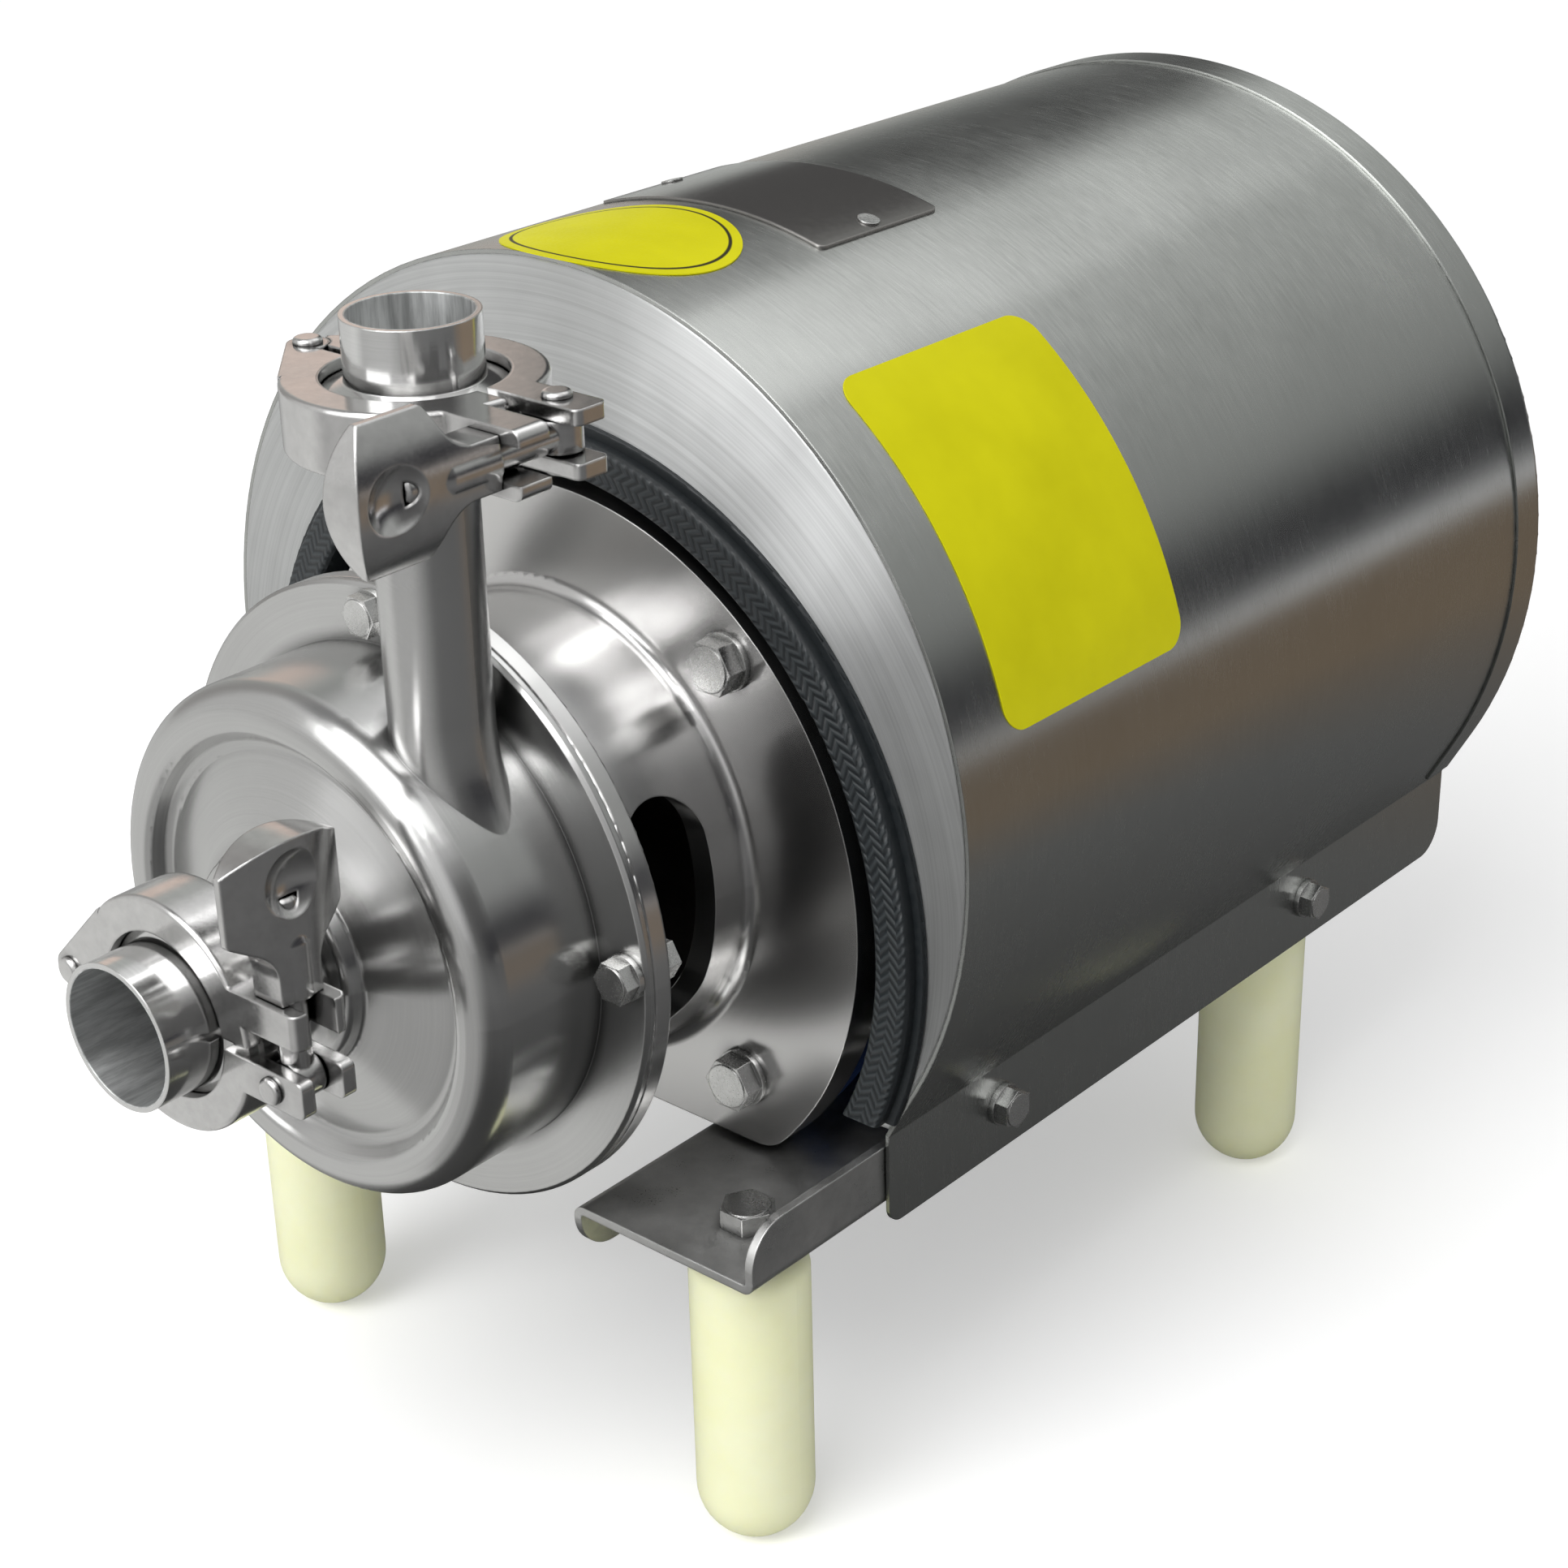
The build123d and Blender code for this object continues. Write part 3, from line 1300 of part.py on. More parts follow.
def all_nodes():
    nodes = {
        "suction_stub": stub(suction_d, suction_stub_l),
        "suction_gasket": gasket(suction_d, suction_clamp_y),
        "discharge_stub": discharge_stub(),
        "discharge_gasket": discharge_gasket(),
        "pump_casing": pump_casing(),
        "casing_o_ring": casing_o_ring(),
        "back_plate": back_plate(),
        "seal_seat": seal_seat(),
        "seat_o_ring": seat_o_ring(),
        "seal_head": seal_head(),
        "seal_spring": seal_spring(),
        "impeller": impeller(),
        "impeller_nut": impeller_nut(),
        "pump_shaft": pump_shaft(),
        "casing_bolts": casing_bolts(),
        "lantern": lantern(),
        "lantern_bolts": lantern_bolts(),
        "motor_front_shield": motor_front_shield(),
        "motor_housing": motor_housing(),
        "motor_rear_shield": motor_rear_shield(),
        "stator_core": stator_core(),
        "stator_windings": stator_windings(),
        "rotor_core": rotor_core(),
        "motor_shaft": motor_shaft(),
        "bearing_outer_rings": group([bearing_outer(front_bearing_y), bearing_outer(rear_bearing_y)]),
        "bearing_inner_rings": group([bearing_inner(front_bearing_y), bearing_inner(rear_bearing_y)]),
        "bearing_balls": group(bearing_balls(front_bearing_y) + bearing_balls(rear_bearing_y)),
        "cooling_fan": cooling_fan(),
        "fan_cowl": fan_cowl(),
        "cowl_screws": cowl_screws(),
        "terminal_box": terminal_box(),
        "terminal_lid": terminal_lid(),
        "lid_screws": lid_screws(),
        "cable_gland": cable_gland(),
        "motor_foot_bolts": motor_foot_bolts(),
        "base_rail_right": base_rail(1),
        "base_rail_left": base_rail(-1),
        "nylon_feet": nylon_feet(),
        "foot_bolts": foot_bolts(),
        "shroud_shell": shroud_shell(),
        "shroud_front_ring": shroud_front_ring(),
        "shroud_rear_cap": shroud_rear_cap(),
        "opening_trim": opening_trim(),
        "shroud_bolts": shroud_bolts(),
        "nameplate": nameplate(),
        "nameplate_rivets": nameplate_rivets(),
        "oval_sticker": oval_sticker(),
        "side_sticker": side_sticker(),
    }
    for name, piece in clamp_parts().items():
        nodes["suction_clamp_" + name] = clamp_at_suction(piece)
        nodes["discharge_clamp_" + name] = clamp_at_discharge(piece)
    return nodes


def main():
    os.makedirs("parts", exist_ok=True)
    for name, piece in all_nodes().items():
        export_step(piece, "parts/" + name + ".step")
        print(name, len(piece.solids()), round(piece.volume))


main()
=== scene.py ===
# %% [markdown]
# # A sanitary centrifugal pump, dressed in Blender
# The solids of the pump come from a CAD model and stay as they are. This file gives every one of
# them a finish and sets up a small photo studio round them.
# Lengths are metres, the shaft runs along +Y and +Z is up.

# %% Load the frame
import bpy
import math
from mathutils import Matrix, Vector


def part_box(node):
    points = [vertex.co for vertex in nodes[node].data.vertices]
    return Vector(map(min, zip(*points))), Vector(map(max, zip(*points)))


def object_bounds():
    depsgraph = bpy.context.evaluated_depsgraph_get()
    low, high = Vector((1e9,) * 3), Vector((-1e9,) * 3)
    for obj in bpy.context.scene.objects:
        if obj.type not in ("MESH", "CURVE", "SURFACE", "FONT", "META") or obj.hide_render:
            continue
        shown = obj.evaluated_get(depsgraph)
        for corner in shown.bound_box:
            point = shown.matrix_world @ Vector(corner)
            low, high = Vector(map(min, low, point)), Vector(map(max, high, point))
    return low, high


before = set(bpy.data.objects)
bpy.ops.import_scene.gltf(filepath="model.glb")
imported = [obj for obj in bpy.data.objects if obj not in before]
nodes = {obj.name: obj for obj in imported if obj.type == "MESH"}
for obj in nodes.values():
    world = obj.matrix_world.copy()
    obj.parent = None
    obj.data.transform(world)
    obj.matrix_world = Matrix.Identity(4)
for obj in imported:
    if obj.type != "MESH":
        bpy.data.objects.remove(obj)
cad_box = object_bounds()
print(len(nodes), "CAD nodes, box", [round(v, 4) for corner in cad_box for v in corner])

# %% [markdown]
# ## The camera
# A photograph fixes a place and a direction. The lens is a short telephoto, the camera stands to
# the front right of the pump, looks down at it and is held a little tilted. The three axes of the
# camera are worked out from the direction it looks in, because that is easier to read than angles.

# %% Camera
azimuth = math.radians(41.32)
elevation = math.radians(25.37)
roll = math.radians(-1.39)
camera_place = (0.52408, -0.35730, 0.35303)
photo_size = 1932
photo_focal = 3714.65
sensor_width = 36.0

back = Vector((math.sin(azimuth) * math.cos(elevation),
               -math.cos(azimuth) * math.cos(elevation),
               math.sin(elevation)))
level_right = (-back).cross(Vector((0, 0, 1))).normalized()
level_up = level_right.cross(-back)
right = math.cos(roll) * level_right + math.sin(roll) * level_up
up = math.cos(roll) * level_up - math.sin(roll) * level_right

camera_data = bpy.data.cameras.new("photo_camera")
camera_data.sensor_width = sensor_width
camera_data.lens = photo_focal / photo_size * sensor_width
camera_data.clip_start = 0.01
camera_data.clip_end = 50
camera = bpy.data.objects.new("photo_camera", camera_data)
bpy.context.scene.collection.objects.link(camera)
camera.matrix_world = Matrix.Translation(camera_place) @ Matrix((
    (right.x, up.x, back.x), (right.y, up.y, back.y), (right.z, up.z, back.z))).to_4x4()
bpy.context.scene.camera = camera
print("lens", round(camera_data.lens, 2), "mm")

# %% [markdown]
# ## A small kit for finishes
# A finish is a tree of nodes. The same few steps come back in all of them: a pattern, a range it
# is stretched over, and a bump. Each step is a short function here, so that a finish further on
# reads as a recipe. Patterns are laid out on Object coordinates: they stay on the piece when it
# moves, and every CAD piece has its place in its mesh, so they are also places on the pump.

# %% Helpers for node trees
broken_edge = 0.0005    # how far the edges of most pieces are rounded


def shaded(color, share):
    """A darker or brighter version of a colour."""
    return tuple(min(1.0, part * share) for part in color)


class Finish:
    """One material and the nodes it is made of."""

    def __init__(self, name, color, metallic=0.0, roughness=0.5):
        self.material = bpy.data.materials.new(name)
        self.material.use_nodes = True
        self.tree = self.material.node_tree
        self.shader = self.tree.nodes["Principled BSDF"]
        self.set("Base Color", (*color, 1))
        self.set("Metallic", metallic)
        self.set("Roughness", roughness)
        self.place = self.add("ShaderNodeTexCoord").outputs["Object"]

    def set(self, socket, value):
        """Writes a plain value on the surface shader."""
        self.shader.inputs[socket].default_value = value

    def link(self, socket, value):
        """Lets a pattern drive the surface shader."""
        self.feed(self.shader.inputs[socket], value)

    def add(self, kind, **settings):
        node = self.tree.nodes.new(kind)
        for key, value in settings.items():
            setattr(node, key, value)
        return node

    def feed(self, socket, value):
        """Links an output to a socket, or writes a plain number or colour there."""
        if isinstance(value, bpy.types.NodeSocket):
            self.tree.links.new(value, socket)
        else:
            socket.default_value = value

    def math(self, operation, first, second=0.0):
        node = self.add("ShaderNodeMath", operation=operation)
        self.feed(node.inputs[0], first)
        self.feed(node.inputs[1], second)
        return node.outputs[0]

    def plus(self, first, second):
        return self.math("ADD", first, second)

    def minus(self, first, second):
        return self.math("SUBTRACT", first, second)

    def times(self, first, second):
        return self.math("MULTIPLY", first, second)

    def mixture(self, first, share, second):
        """A share of the first pattern and the rest of the second."""
        return self.plus(self.times(first, share), self.times(second, 1.0 - share))

    def distance(self, across, over):
        """How far a point given by two coordinates lies from the middle."""
        return self.math("SQRT", self.plus(self.times(across, across), self.times(over, over)))

    def split(self, vector):
        node = self.add("ShaderNodeSeparateXYZ")
        self.feed(node.inputs[0], vector)
        return node.outputs

    def join(self, x, y, z):
        node = self.add("ShaderNodeCombineXYZ")
        for socket, value in zip(node.inputs, (x, y, z)):
            self.feed(socket, value)
        return node.outputs[0]

    def noise(self, vector, scale, detail=3.0, rough=0.6):
        node = self.add("ShaderNodeTexNoise")
        self.feed(node.inputs["Vector"], vector)
        node.inputs["Scale"].default_value = scale
        node.inputs["Detail"].default_value = detail
        node.inputs["Roughness"].default_value = rough
        return node.outputs["Fac"]

    def span(self, value, low, high, to_low=0.0, to_high=1.0):
        """Stretches a value from one range to another and stops at the ends."""
        node = self.add("ShaderNodeMapRange")
        for socket, number in zip(node.inputs, (value, low, high, to_low, to_high)):
            self.feed(socket, number)
        return node.outputs[0]

    def vary(self, noise, to_low=0.0, to_high=1.0):
        """Spreads a noise over a range. Nearly all of a noise lies between 0.3 and 0.7."""
        return self.span(noise, 0.3, 0.7, to_low, to_high)

    def blend(self, share, first, second):
        """Mixes two colours."""
        node = self.add("ShaderNodeMix", data_type="RGBA")
        self.feed(node.inputs["Factor"], share)
        for socket, value in ((node.inputs[6], first), (node.inputs[7], second)):
            self.feed(socket, (*value, 1) if isinstance(value, tuple) else value)
        return node.outputs[2]

    def bump(self, height, depth, under=None):
        """Raises a pattern by a depth in metres, over another bump or rounded edges."""
        node = self.add("ShaderNodeBump")
        node.inputs["Strength"].default_value = 1.0
        node.inputs["Distance"].default_value = depth
        self.feed(node.inputs["Height"], height)
        if under is not None:
            self.feed(node.inputs["Normal"], under)
        return node.outputs[0]

    def soft_edges(self, radius):
        """Rounds sharp edges for the light, as tumbling and polishing do."""
        node = self.add("ShaderNodeBevel", samples=4)
        node.inputs["Radius"].default_value = radius
        return node.outputs[0]

    def paint_corner_shade(self, color, reach, dark=0.25):
        """Paints shade into a colour where another surface comes within reach: darker in corners
        and round joints, where shade falls.

        The occlusion is 1 on an open face and falls towards 0 in a corner.
        """
        node = self.add("ShaderNodeAmbientOcclusion", samples=4)
        node.inputs["Distance"].default_value = reach
        deep = self.span(node.outputs["AO"], 0.35, 0.95, 1.0, 0.0)
        dull = self.blend(dark, (0.0, 0.0, 0.0), color)
        return self.blend(deep, color, dull)

    def round_axis(self, centre=(0.0, 0.0), axis="Y"):
        """Angle, radius and length along a turning axis, for tool marks that run round it."""
        x, y, z = self.split(self.place)
        across, over, along = (x, z, y) if axis == "Y" else (x, y, z)
        u = self.minus(across, centre[0])
        v = self.minus(over, centre[1])
        back_v = self.times(v, -1.0)
        self.along_marks = (back_v, 0.0, u) if axis == "Y" else (back_v, u, 0.0)
        return self.math("ARCTAN2", v, u), self.distance(u, v), along

    def brush(self, share):
        """Stretches the highlights across the marks that run round the axis of round_axis."""
        turn = self.add("ShaderNodeVectorTransform", vector_type="VECTOR",
                        convert_from="OBJECT", convert_to="WORLD")
        self.feed(turn.inputs[0], self.join(*self.along_marks))
        self.set("Anisotropic", share)
        self.set("Anisotropic Rotation", 0.25)
        self.link("Tangent", turn.outputs[0])


def show(*materials):
    """Prints new finishes and the number of nodes that each is made of."""
    print(", ".join(f"{material.name}: {len(material.node_tree.nodes)} nodes"
                    for material in materials))


print("finish kit ready")

# %% [markdown]
# ## The studio
# A pale floor and a pale room stand round the pump. A white sheet under a product still looks
# grey in a picture, so the floor glows a little where it is looked at, more with the distance.
# It then comes out white and still shows the pump's shadow.

# %% Floor


def looked_at(tree):
    """1 for rays that show a surface, straight, mirrored or through glass, and 0 for light."""
    ray = tree.nodes.new("ShaderNodeLightPath")
    seen = ray.outputs["Is Camera Ray"]
    for other in ("Is Glossy Ray", "Is Transmission Ray"):
        either = tree.nodes.new("ShaderNodeMath")
        either.operation = "MAXIMUM"
        tree.links.new(seen, either.inputs[0])
        tree.links.new(ray.outputs[other], either.inputs[1])
        seen = either.outputs[0]
    return seen


floor_size = 16
glow_from, glow_full = 0.9, 3.2     # distances from the pump
glow_near, glow_far = 0.36, 0.64    # strengths at those distances
feet_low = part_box("nylon_feet")[0].z
bpy.ops.object.select_all(action="DESELECT")
bpy.ops.mesh.primitive_plane_add(size=floor_size, location=(0, 0, feet_low))
floor = bpy.context.object
floor.name = "floor"
floor_paint = Finish("floor_paint", (0.9, 0.9, 0.9), 0.0, 0.9)
floor_paint.set("Specular IOR Level", 0.0)
floor_paint.set("Emission Color", (1, 1, 1, 1))
x, y, _ = floor_paint.split(floor_paint.place)
glow = floor_paint.span(floor_paint.distance(x, y), glow_from, glow_full, glow_near, glow_far)
floor_paint.link("Emission Strength", floor_paint.times(looked_at(floor_paint.tree), glow))
floor.data.materials.append(floor_paint.material)
print("floor at", round(feet_low, 4))

# %% [markdown]
# The room is white where it is looked at and dimmer as a light, so that the lamps can shape the
# pump and the background stays white.

# %% World
room_light = 0.38
room_white = 1.0
world = bpy.data.worlds.new("pale_room")
world.use_nodes = True
bpy.context.scene.world = world
room = world.node_tree.nodes["Background"]
room.inputs["Color"].default_value = (1, 1, 1, 1)
level = world.node_tree.nodes.new("ShaderNodeMapRange")
level.inputs["To Min"].default_value = room_light
level.inputs["To Max"].default_value = room_white
world.node_tree.links.new(looked_at(world.node_tree), level.inputs["Value"])
world.node_tree.links.new(level.outputs["Result"], room.inputs["Strength"])
bpy.context.scene.view_settings.view_transform = "Standard"
print("room of", len(world.node_tree.nodes), "nodes")

# %% [markdown]
# Four soft lamps stand above the pump. The main one is high in front of it, a lower one to its
# left lights the front ring, and two small ones behind it and to its right draw bright lines
# along the cover.

# %% Lamps
pump_centre = (cad_box[0] + cad_box[1]) / 2


def direction(azimuth, elevation):
    """A unit vector. Azimuth runs in degrees from +Y towards +X, elevation from the level."""
    turn, rise = math.radians(azimuth), math.radians(elevation)
    return Vector((math.sin(turn) * math.cos(rise),
                   math.cos(turn) * math.cos(rise),
                   math.sin(rise)))


def soft_lamp(name, azimuth, elevation, distance, size, power):
    """A square area lamp that looks at the pump's centre."""
    away = direction(azimuth, elevation)
    data = bpy.data.lights.new(name, "AREA")
    data.size = size
    data.energy = power
    lamp = bpy.data.objects.new(name, data)
    bpy.context.scene.collection.objects.link(lamp)
    lamp.location = pump_centre + away * distance
    lamp.rotation_mode = "QUATERNION"
    lamp.rotation_quaternion = away.to_track_quat("Z", "Y")
    print(name, "at", [round(v, 2) for v in lamp.location])


soft_lamp("key_lamp", 172, 54, distance=2.4, size=1.7, power=36)
soft_lamp("front_lamp", 192, 29, distance=2.5, size=1.7, power=17)
soft_lamp("back_lamp", -6, 58, distance=2.2, size=0.9, power=2.2)
soft_lamp("right_lamp", 118, 58, distance=2.3, size=0.9, power=2.5)

# %% [markdown]
# ## A grey tent for the reflections
# Bright metal looks like what stands around it, and in an all-white room it would look like
# plaster. Photographers hang grey cloth round shiny things to draw soft dark bands on them. This
# tent is such a cloth: only reflections see it, they look through it at the same pale room, and
# it dims the room by a share that changes with the direction.

# %% Cloth
tent_radius = 2.9


def see_through(cloth, color):
    """Turns a finish into a cloth that lets a share of the light through."""
    clear = cloth.add("ShaderNodeBsdfTransparent")
    cloth.feed(clear.inputs["Color"], color)
    output = cloth.tree.nodes["Material Output"]
    cloth.tree.links.new(clear.outputs[0], output.inputs["Surface"])
    return cloth.material


def sector(cloth, turn, middle, half_width, soft):
    """1 in the directions round a middle one, 0 away from them, with soft sides."""
    beside = cloth.math("COSINE", cloth.minus(turn, math.radians(middle)))
    return cloth.span(beside, math.cos(math.radians(half_width + soft)),
                      math.cos(math.radians(half_width - soft)))


def hang(cloth_object, name, material):
    """Puts a cloth up where reflections see it, and the camera and shadows do not."""
    cloth_object.name = name
    cloth_object.data.materials.append(material)
    cloth_object.visible_camera = False
    cloth_object.visible_diffuse = False
    cloth_object.visible_shadow = False
    print(name, "hung up")


print("cloth for a tent of", tent_radius, "m")

# %% [markdown]
# The tent is a ball of cloth round the whole scene. Each patch of it dims the directions between
# two heights, round a middle direction. Directions are degrees from +Y, the pump's back, towards
# +X, its right side, and heights are degrees above the level.

# %% Tent
# middle, half width, soft sides, lowest, highest, soft ends, share of the light let through
tent_patches = [
    (180, 75, 20, -90, 16, 14, (0.80, 0.80, 0.80)),    # low in front
    (-105, 50, 16, -90, 50, 12, (0.72, 0.72, 0.71)),   # the left side
    (-75, 22, 10, -10, 60, 12, (0.40, 0.39, 0.38)),    # an upright band at the left
    (-10, 55, 14, -90, 42, 8, (0.52, 0.54, 0.52)),     # the back
    (60, 50, 12, -90, 38, 10, (0.46, 0.47, 0.46)),     # the back right
    (98, 38, 14, -90, 36, 12, (0.13, 0.13, 0.13)),     # the dark right side
    (-85, 42, 12, 52, 90, 8, (0.28, 0.28, 0.28)),      # high at the left
    (-33, 11, 4, 8, 35, 3, (0.06, 0.06, 0.06)),        # a dark strip at the back left
    (-53, 8, 3, 8, 24, 4, (0.85, 0.70, 0.62)),         # a warm strip beside it
    (50, 52, 12, -90, 10, 5, (0.05, 0.05, 0.055)),     # the dark foot of the back right
]


def tent_cloth(name, patches):
    """A cloth whose patches dim the room behind it."""
    cloth = Finish(name, (1, 1, 1))
    x, y, z = cloth.split(cloth.place)
    rise = cloth.math("ARCTAN2", z, cloth.distance(x, y))
    turn = cloth.math("ARCTAN2", x, y)
    color = (1.0, 1.0, 1.0)
    for middle, half_width, side_soft, low, high, end_soft, shade in patches:
        inside = sector(cloth, turn, middle, half_width, side_soft)
        above = cloth.span(rise, math.radians(low - end_soft), math.radians(low + end_soft))
        below = cloth.span(rise, math.radians(high - end_soft), math.radians(high + end_soft),
                           1.0, 0.0)
        color = cloth.blend(cloth.times(inside, cloth.times(above, below)), color, shade)
    return see_through(cloth, color)


bpy.ops.object.select_all(action="DESELECT")
bpy.ops.mesh.primitive_uv_sphere_add(segments=48, ring_count=24, radius=tent_radius)
hang(bpy.context.object, "grey_tent", tent_cloth("tent_cloth", tent_patches))
print("tent of", len(tent_patches), "patches")

# %% [markdown]
# The floor is white too, and the lower half of every shiny piece would be as bright as the upper
# half. A round mat of the same cloth lies on it: darker near the pump and at its right, with a
# warm tone between, as a workshop floor has, and paler at the left. Far out at the back right
# it has a gap that lets the white floor show, for a pale band in the reflections.

# %% Mat
mat_lift = 0.0005


def mat_cloth(name):
    """A cloth whose tone changes with the distance, in metres, and the direction from the pump."""
    cloth = Finish(name, (1, 1, 1))
    x, y, _ = cloth.split(cloth.place)
    reach = cloth.distance(x, y)
    turn = cloth.math("ARCTAN2", x, y)
    near = cloth.blend(cloth.span(reach, 0.15, 0.6), (0.06, 0.06, 0.06), (0.15, 0.15, 0.15))
    warm_part = cloth.times(cloth.span(reach, 0.6, 0.85), sector(cloth, turn, 30, 24, 8))
    warm = cloth.blend(warm_part, near, (0.24, 0.185, 0.135))
    gap = cloth.times(cloth.span(reach, 1.75, 1.85), sector(cloth, turn, 26, 20, 8))
    right_side = cloth.blend(gap, warm, (0.9, 0.9, 0.92))
    left_side = cloth.blend(sector(cloth, turn, -100, 32, 10),
                            (0.38, 0.38, 0.375), (0.62, 0.62, 0.61))
    return see_through(cloth, cloth.blend(sector(cloth, turn, 48, 96, 22), left_side, right_side))


bpy.ops.object.select_all(action="DESELECT")
bpy.ops.mesh.primitive_circle_add(vertices=64, radius=tent_radius, fill_type="NGON",
                                  location=(0, 0, feet_low + mat_lift))
hang(bpy.context.object, "grey_mat", mat_cloth("mat_cloth"))

# %% [markdown]
# ## Turned and spun steel
# Brushing leaves thousands of fine scratches that all run one way. A noise pattern that is
# squeezed hard across the scratches and stretched along them gives the same look. On turned and
# spun parts the scratches run in rings, so the pattern is laid out by angle and radius. The
# scratches also pull every highlight out across them, and the anisotropic part of the shader
# does that. The open ends of the two ports are paler and rougher inside, with streaks along the
# bore; the paler tone is painted light that stands in for the light coming in at the opening.

# %% Turned steel
bore_edge = 0.0003
bore_dark = (0.52, 0.53, 0.53)
bore_painted_light = (0.86, 0.87, 0.87)
bore_roughness = 0.42


def turned_steel(name, color, roughness, centre=(0.0, 0.0), axis="Y", ring=2600.0,
                 depth=0.000006, edge=broken_edge, cloud=0.04, brush=0.6, bore=0.0, shade_reach=0.0):
    """Steel with fine rings about an axis, faint clouds and softened edges; where asked, painted
    shade in corners and painted light in a bore.
    """
    finish = Finish(name, color, 1.0, roughness)
    angle, radius, along = finish.round_axis(centre, axis)
    rings = finish.noise(finish.join(finish.times(angle, 0.6), finish.times(radius, ring),
                                     finish.times(along, ring)), 1.0)
    clouds = finish.noise(finish.place, 18.0)
    wear = finish.mixture(clouds, 0.5, rings)
    tone = finish.blend(finish.span(wear, 0.35, 0.65), shaded(color, 1 - cloud * 2),
                        shaded(color, 1 + cloud))
    rough = finish.vary(wear, roughness * 0.92, roughness * 1.08)
    # Painted shade: the colour darkens in corners and round joints, where shade falls.
    if shade_reach:
        tone = finish.paint_corner_shade(tone, shade_reach)
    # Painted light: the pale streaks inside a bore stand in for light that comes in at the
    # opening.
    if bore:
        streaks = finish.noise(finish.join(finish.times(angle, 5.0), finish.times(along, 30.0),
                                           0.0), 1.0, 5.0, 0.65)
        inside = finish.span(radius, bore, bore + bore_edge, 1.0, 0.0)
        bright = finish.blend(finish.span(streaks, 0.4, 0.6), bore_dark, bore_painted_light)
        tone = finish.blend(inside, tone, bright)
        rough = finish.span(inside, 0.0, 1.0, roughness, bore_roughness)
    finish.link("Base Color", tone)
    finish.link("Roughness", rough)
    finish.link("Normal", finish.bump(rings, depth, finish.soft_edges(edge)))
    finish.brush(brush)
    return finish.material


print("turned steel recipe ready")

# %% [markdown]
# The casing is spun and polished, the lantern and the two ports are turned. The cover's front
# ring keeps coarse brush marks, so its rings are wide, its highlight is long and its edge is
# well rounded. Each port's rings turn about that port's own axis.

# %% Steels of the wet end and the ring
outlet_centre = (0.0364, 0.0762)
suction_bore = 0.0177
outlet_bore = 0.0147
# How far the painted shade in corners and round joints reaches.
joint_shade_reach = 0.004

casing_steel = turned_steel("casing_steel", (0.55, 0.55, 0.545), 0.22, depth=0.000003,
                            shade_reach=joint_shade_reach)
lantern_steel = turned_steel("lantern_steel", (0.64, 0.635, 0.63), 0.22, depth=0.0000005,
                             cloud=0.02, brush=0.7, shade_reach=joint_shade_reach)
port_steel = turned_steel("port_steel", (0.70, 0.70, 0.695), 0.14, brush=0.4,
                          bore=suction_bore)
outlet_steel = turned_steel("outlet_steel", (0.70, 0.70, 0.695), 0.14, outlet_centre, "Z",
                            brush=0.4, bore=outlet_bore)
ring_steel = turned_steel("ring_steel", (0.69, 0.70, 0.70), 0.40, ring=1100.0, depth=0.00001,
                          edge=0.0012, cloud=0.1, brush=0.97)
shaft_steel = turned_steel("shaft_steel", (0.55, 0.55, 0.55), 0.25)
show(casing_steel, lantern_steel, port_steel, outlet_steel, ring_steel, shaft_steel)

# %% [markdown]
# The cover is sheet that was brushed before it was rolled. Its scratches run round the roll, so
# the pattern follows the angle round the shaft. Handling adds long, faint smudges.

# %% Brushed cover


def brushed_cover(name, color, roughness):
    """Rolled sheet: short scratches round the roll, greenish-grey smudges along them."""
    finish = Finish(name, color, 1.0, roughness)
    angle, _, along = finish.round_axis()

    def marks_round(length, width, detail, rough=0.6):
        """Noise drawn out round the roll: the higher the two numbers, the smaller the marks."""
        place = finish.join(finish.times(angle, length), 0.0, finish.times(along, width))
        return finish.noise(place, 1.0, detail, rough)

    fine = marks_round(5.0, 1500.0, 4.0, 0.7)
    dashes = marks_round(22.0, 700.0, 2.0)
    smudge = marks_round(3.0, 22.0, 4.0)
    marks = finish.mixture(fine, 0.6, dashes)
    tone = finish.mixture(marks, 0.6, smudge)
    finish.link("Base Color", finish.blend(finish.span(tone, 0.38, 0.62), shaded(color, 0.90),
                                           shaded(color, 1.06)))
    finish.link("Roughness", finish.span(tone, 0.35, 0.65, roughness * 0.85, roughness * 1.2))
    finish.link("Normal", finish.bump(marks, 0.000012, finish.soft_edges(broken_edge)))
    finish.brush(0.85)
    return finish.material


cover_steel = brushed_cover("cover_steel", (0.45, 0.46, 0.445), 0.25)
show(cover_steel)

# %% [markdown]
# Clamps, wing nuts and bolts are cast or pressed and then tumbled. They have no clear direction,
# only small dents, a little unevenness and well-rounded edges. The rails are plain pressed sheet
# and duller.

# %% Tumbled steel


def tumbled_steel(name, color, roughness, dent, edge, shade_reach=0.003):
    """Steel with shallow dents, fine pits, painted shade in its corners and rounded edges."""
    finish = Finish(name, color, 1.0, roughness)
    dents = finish.noise(finish.place, 260.0)
    waves = finish.noise(finish.place, 60.0, 2.0)
    pits = finish.noise(finish.place, 1400.0, 2.0, 0.8)
    tone = finish.blend(finish.vary(dents), shaded(color, 0.88), color)
    # Painted shade: the colour darkens in corners and round joints, where shade falls.
    finish.link("Base Color", finish.paint_corner_shade(tone, shade_reach))
    finish.link("Roughness", finish.span(finish.mixture(pits, 0.5, waves), 0.35, 0.65,
                                         roughness * 0.7, roughness * 1.4))
    height = finish.plus(finish.times(dents, 0.35), waves)
    finish.link("Normal", finish.bump(height, dent, finish.soft_edges(edge)))
    return finish.material


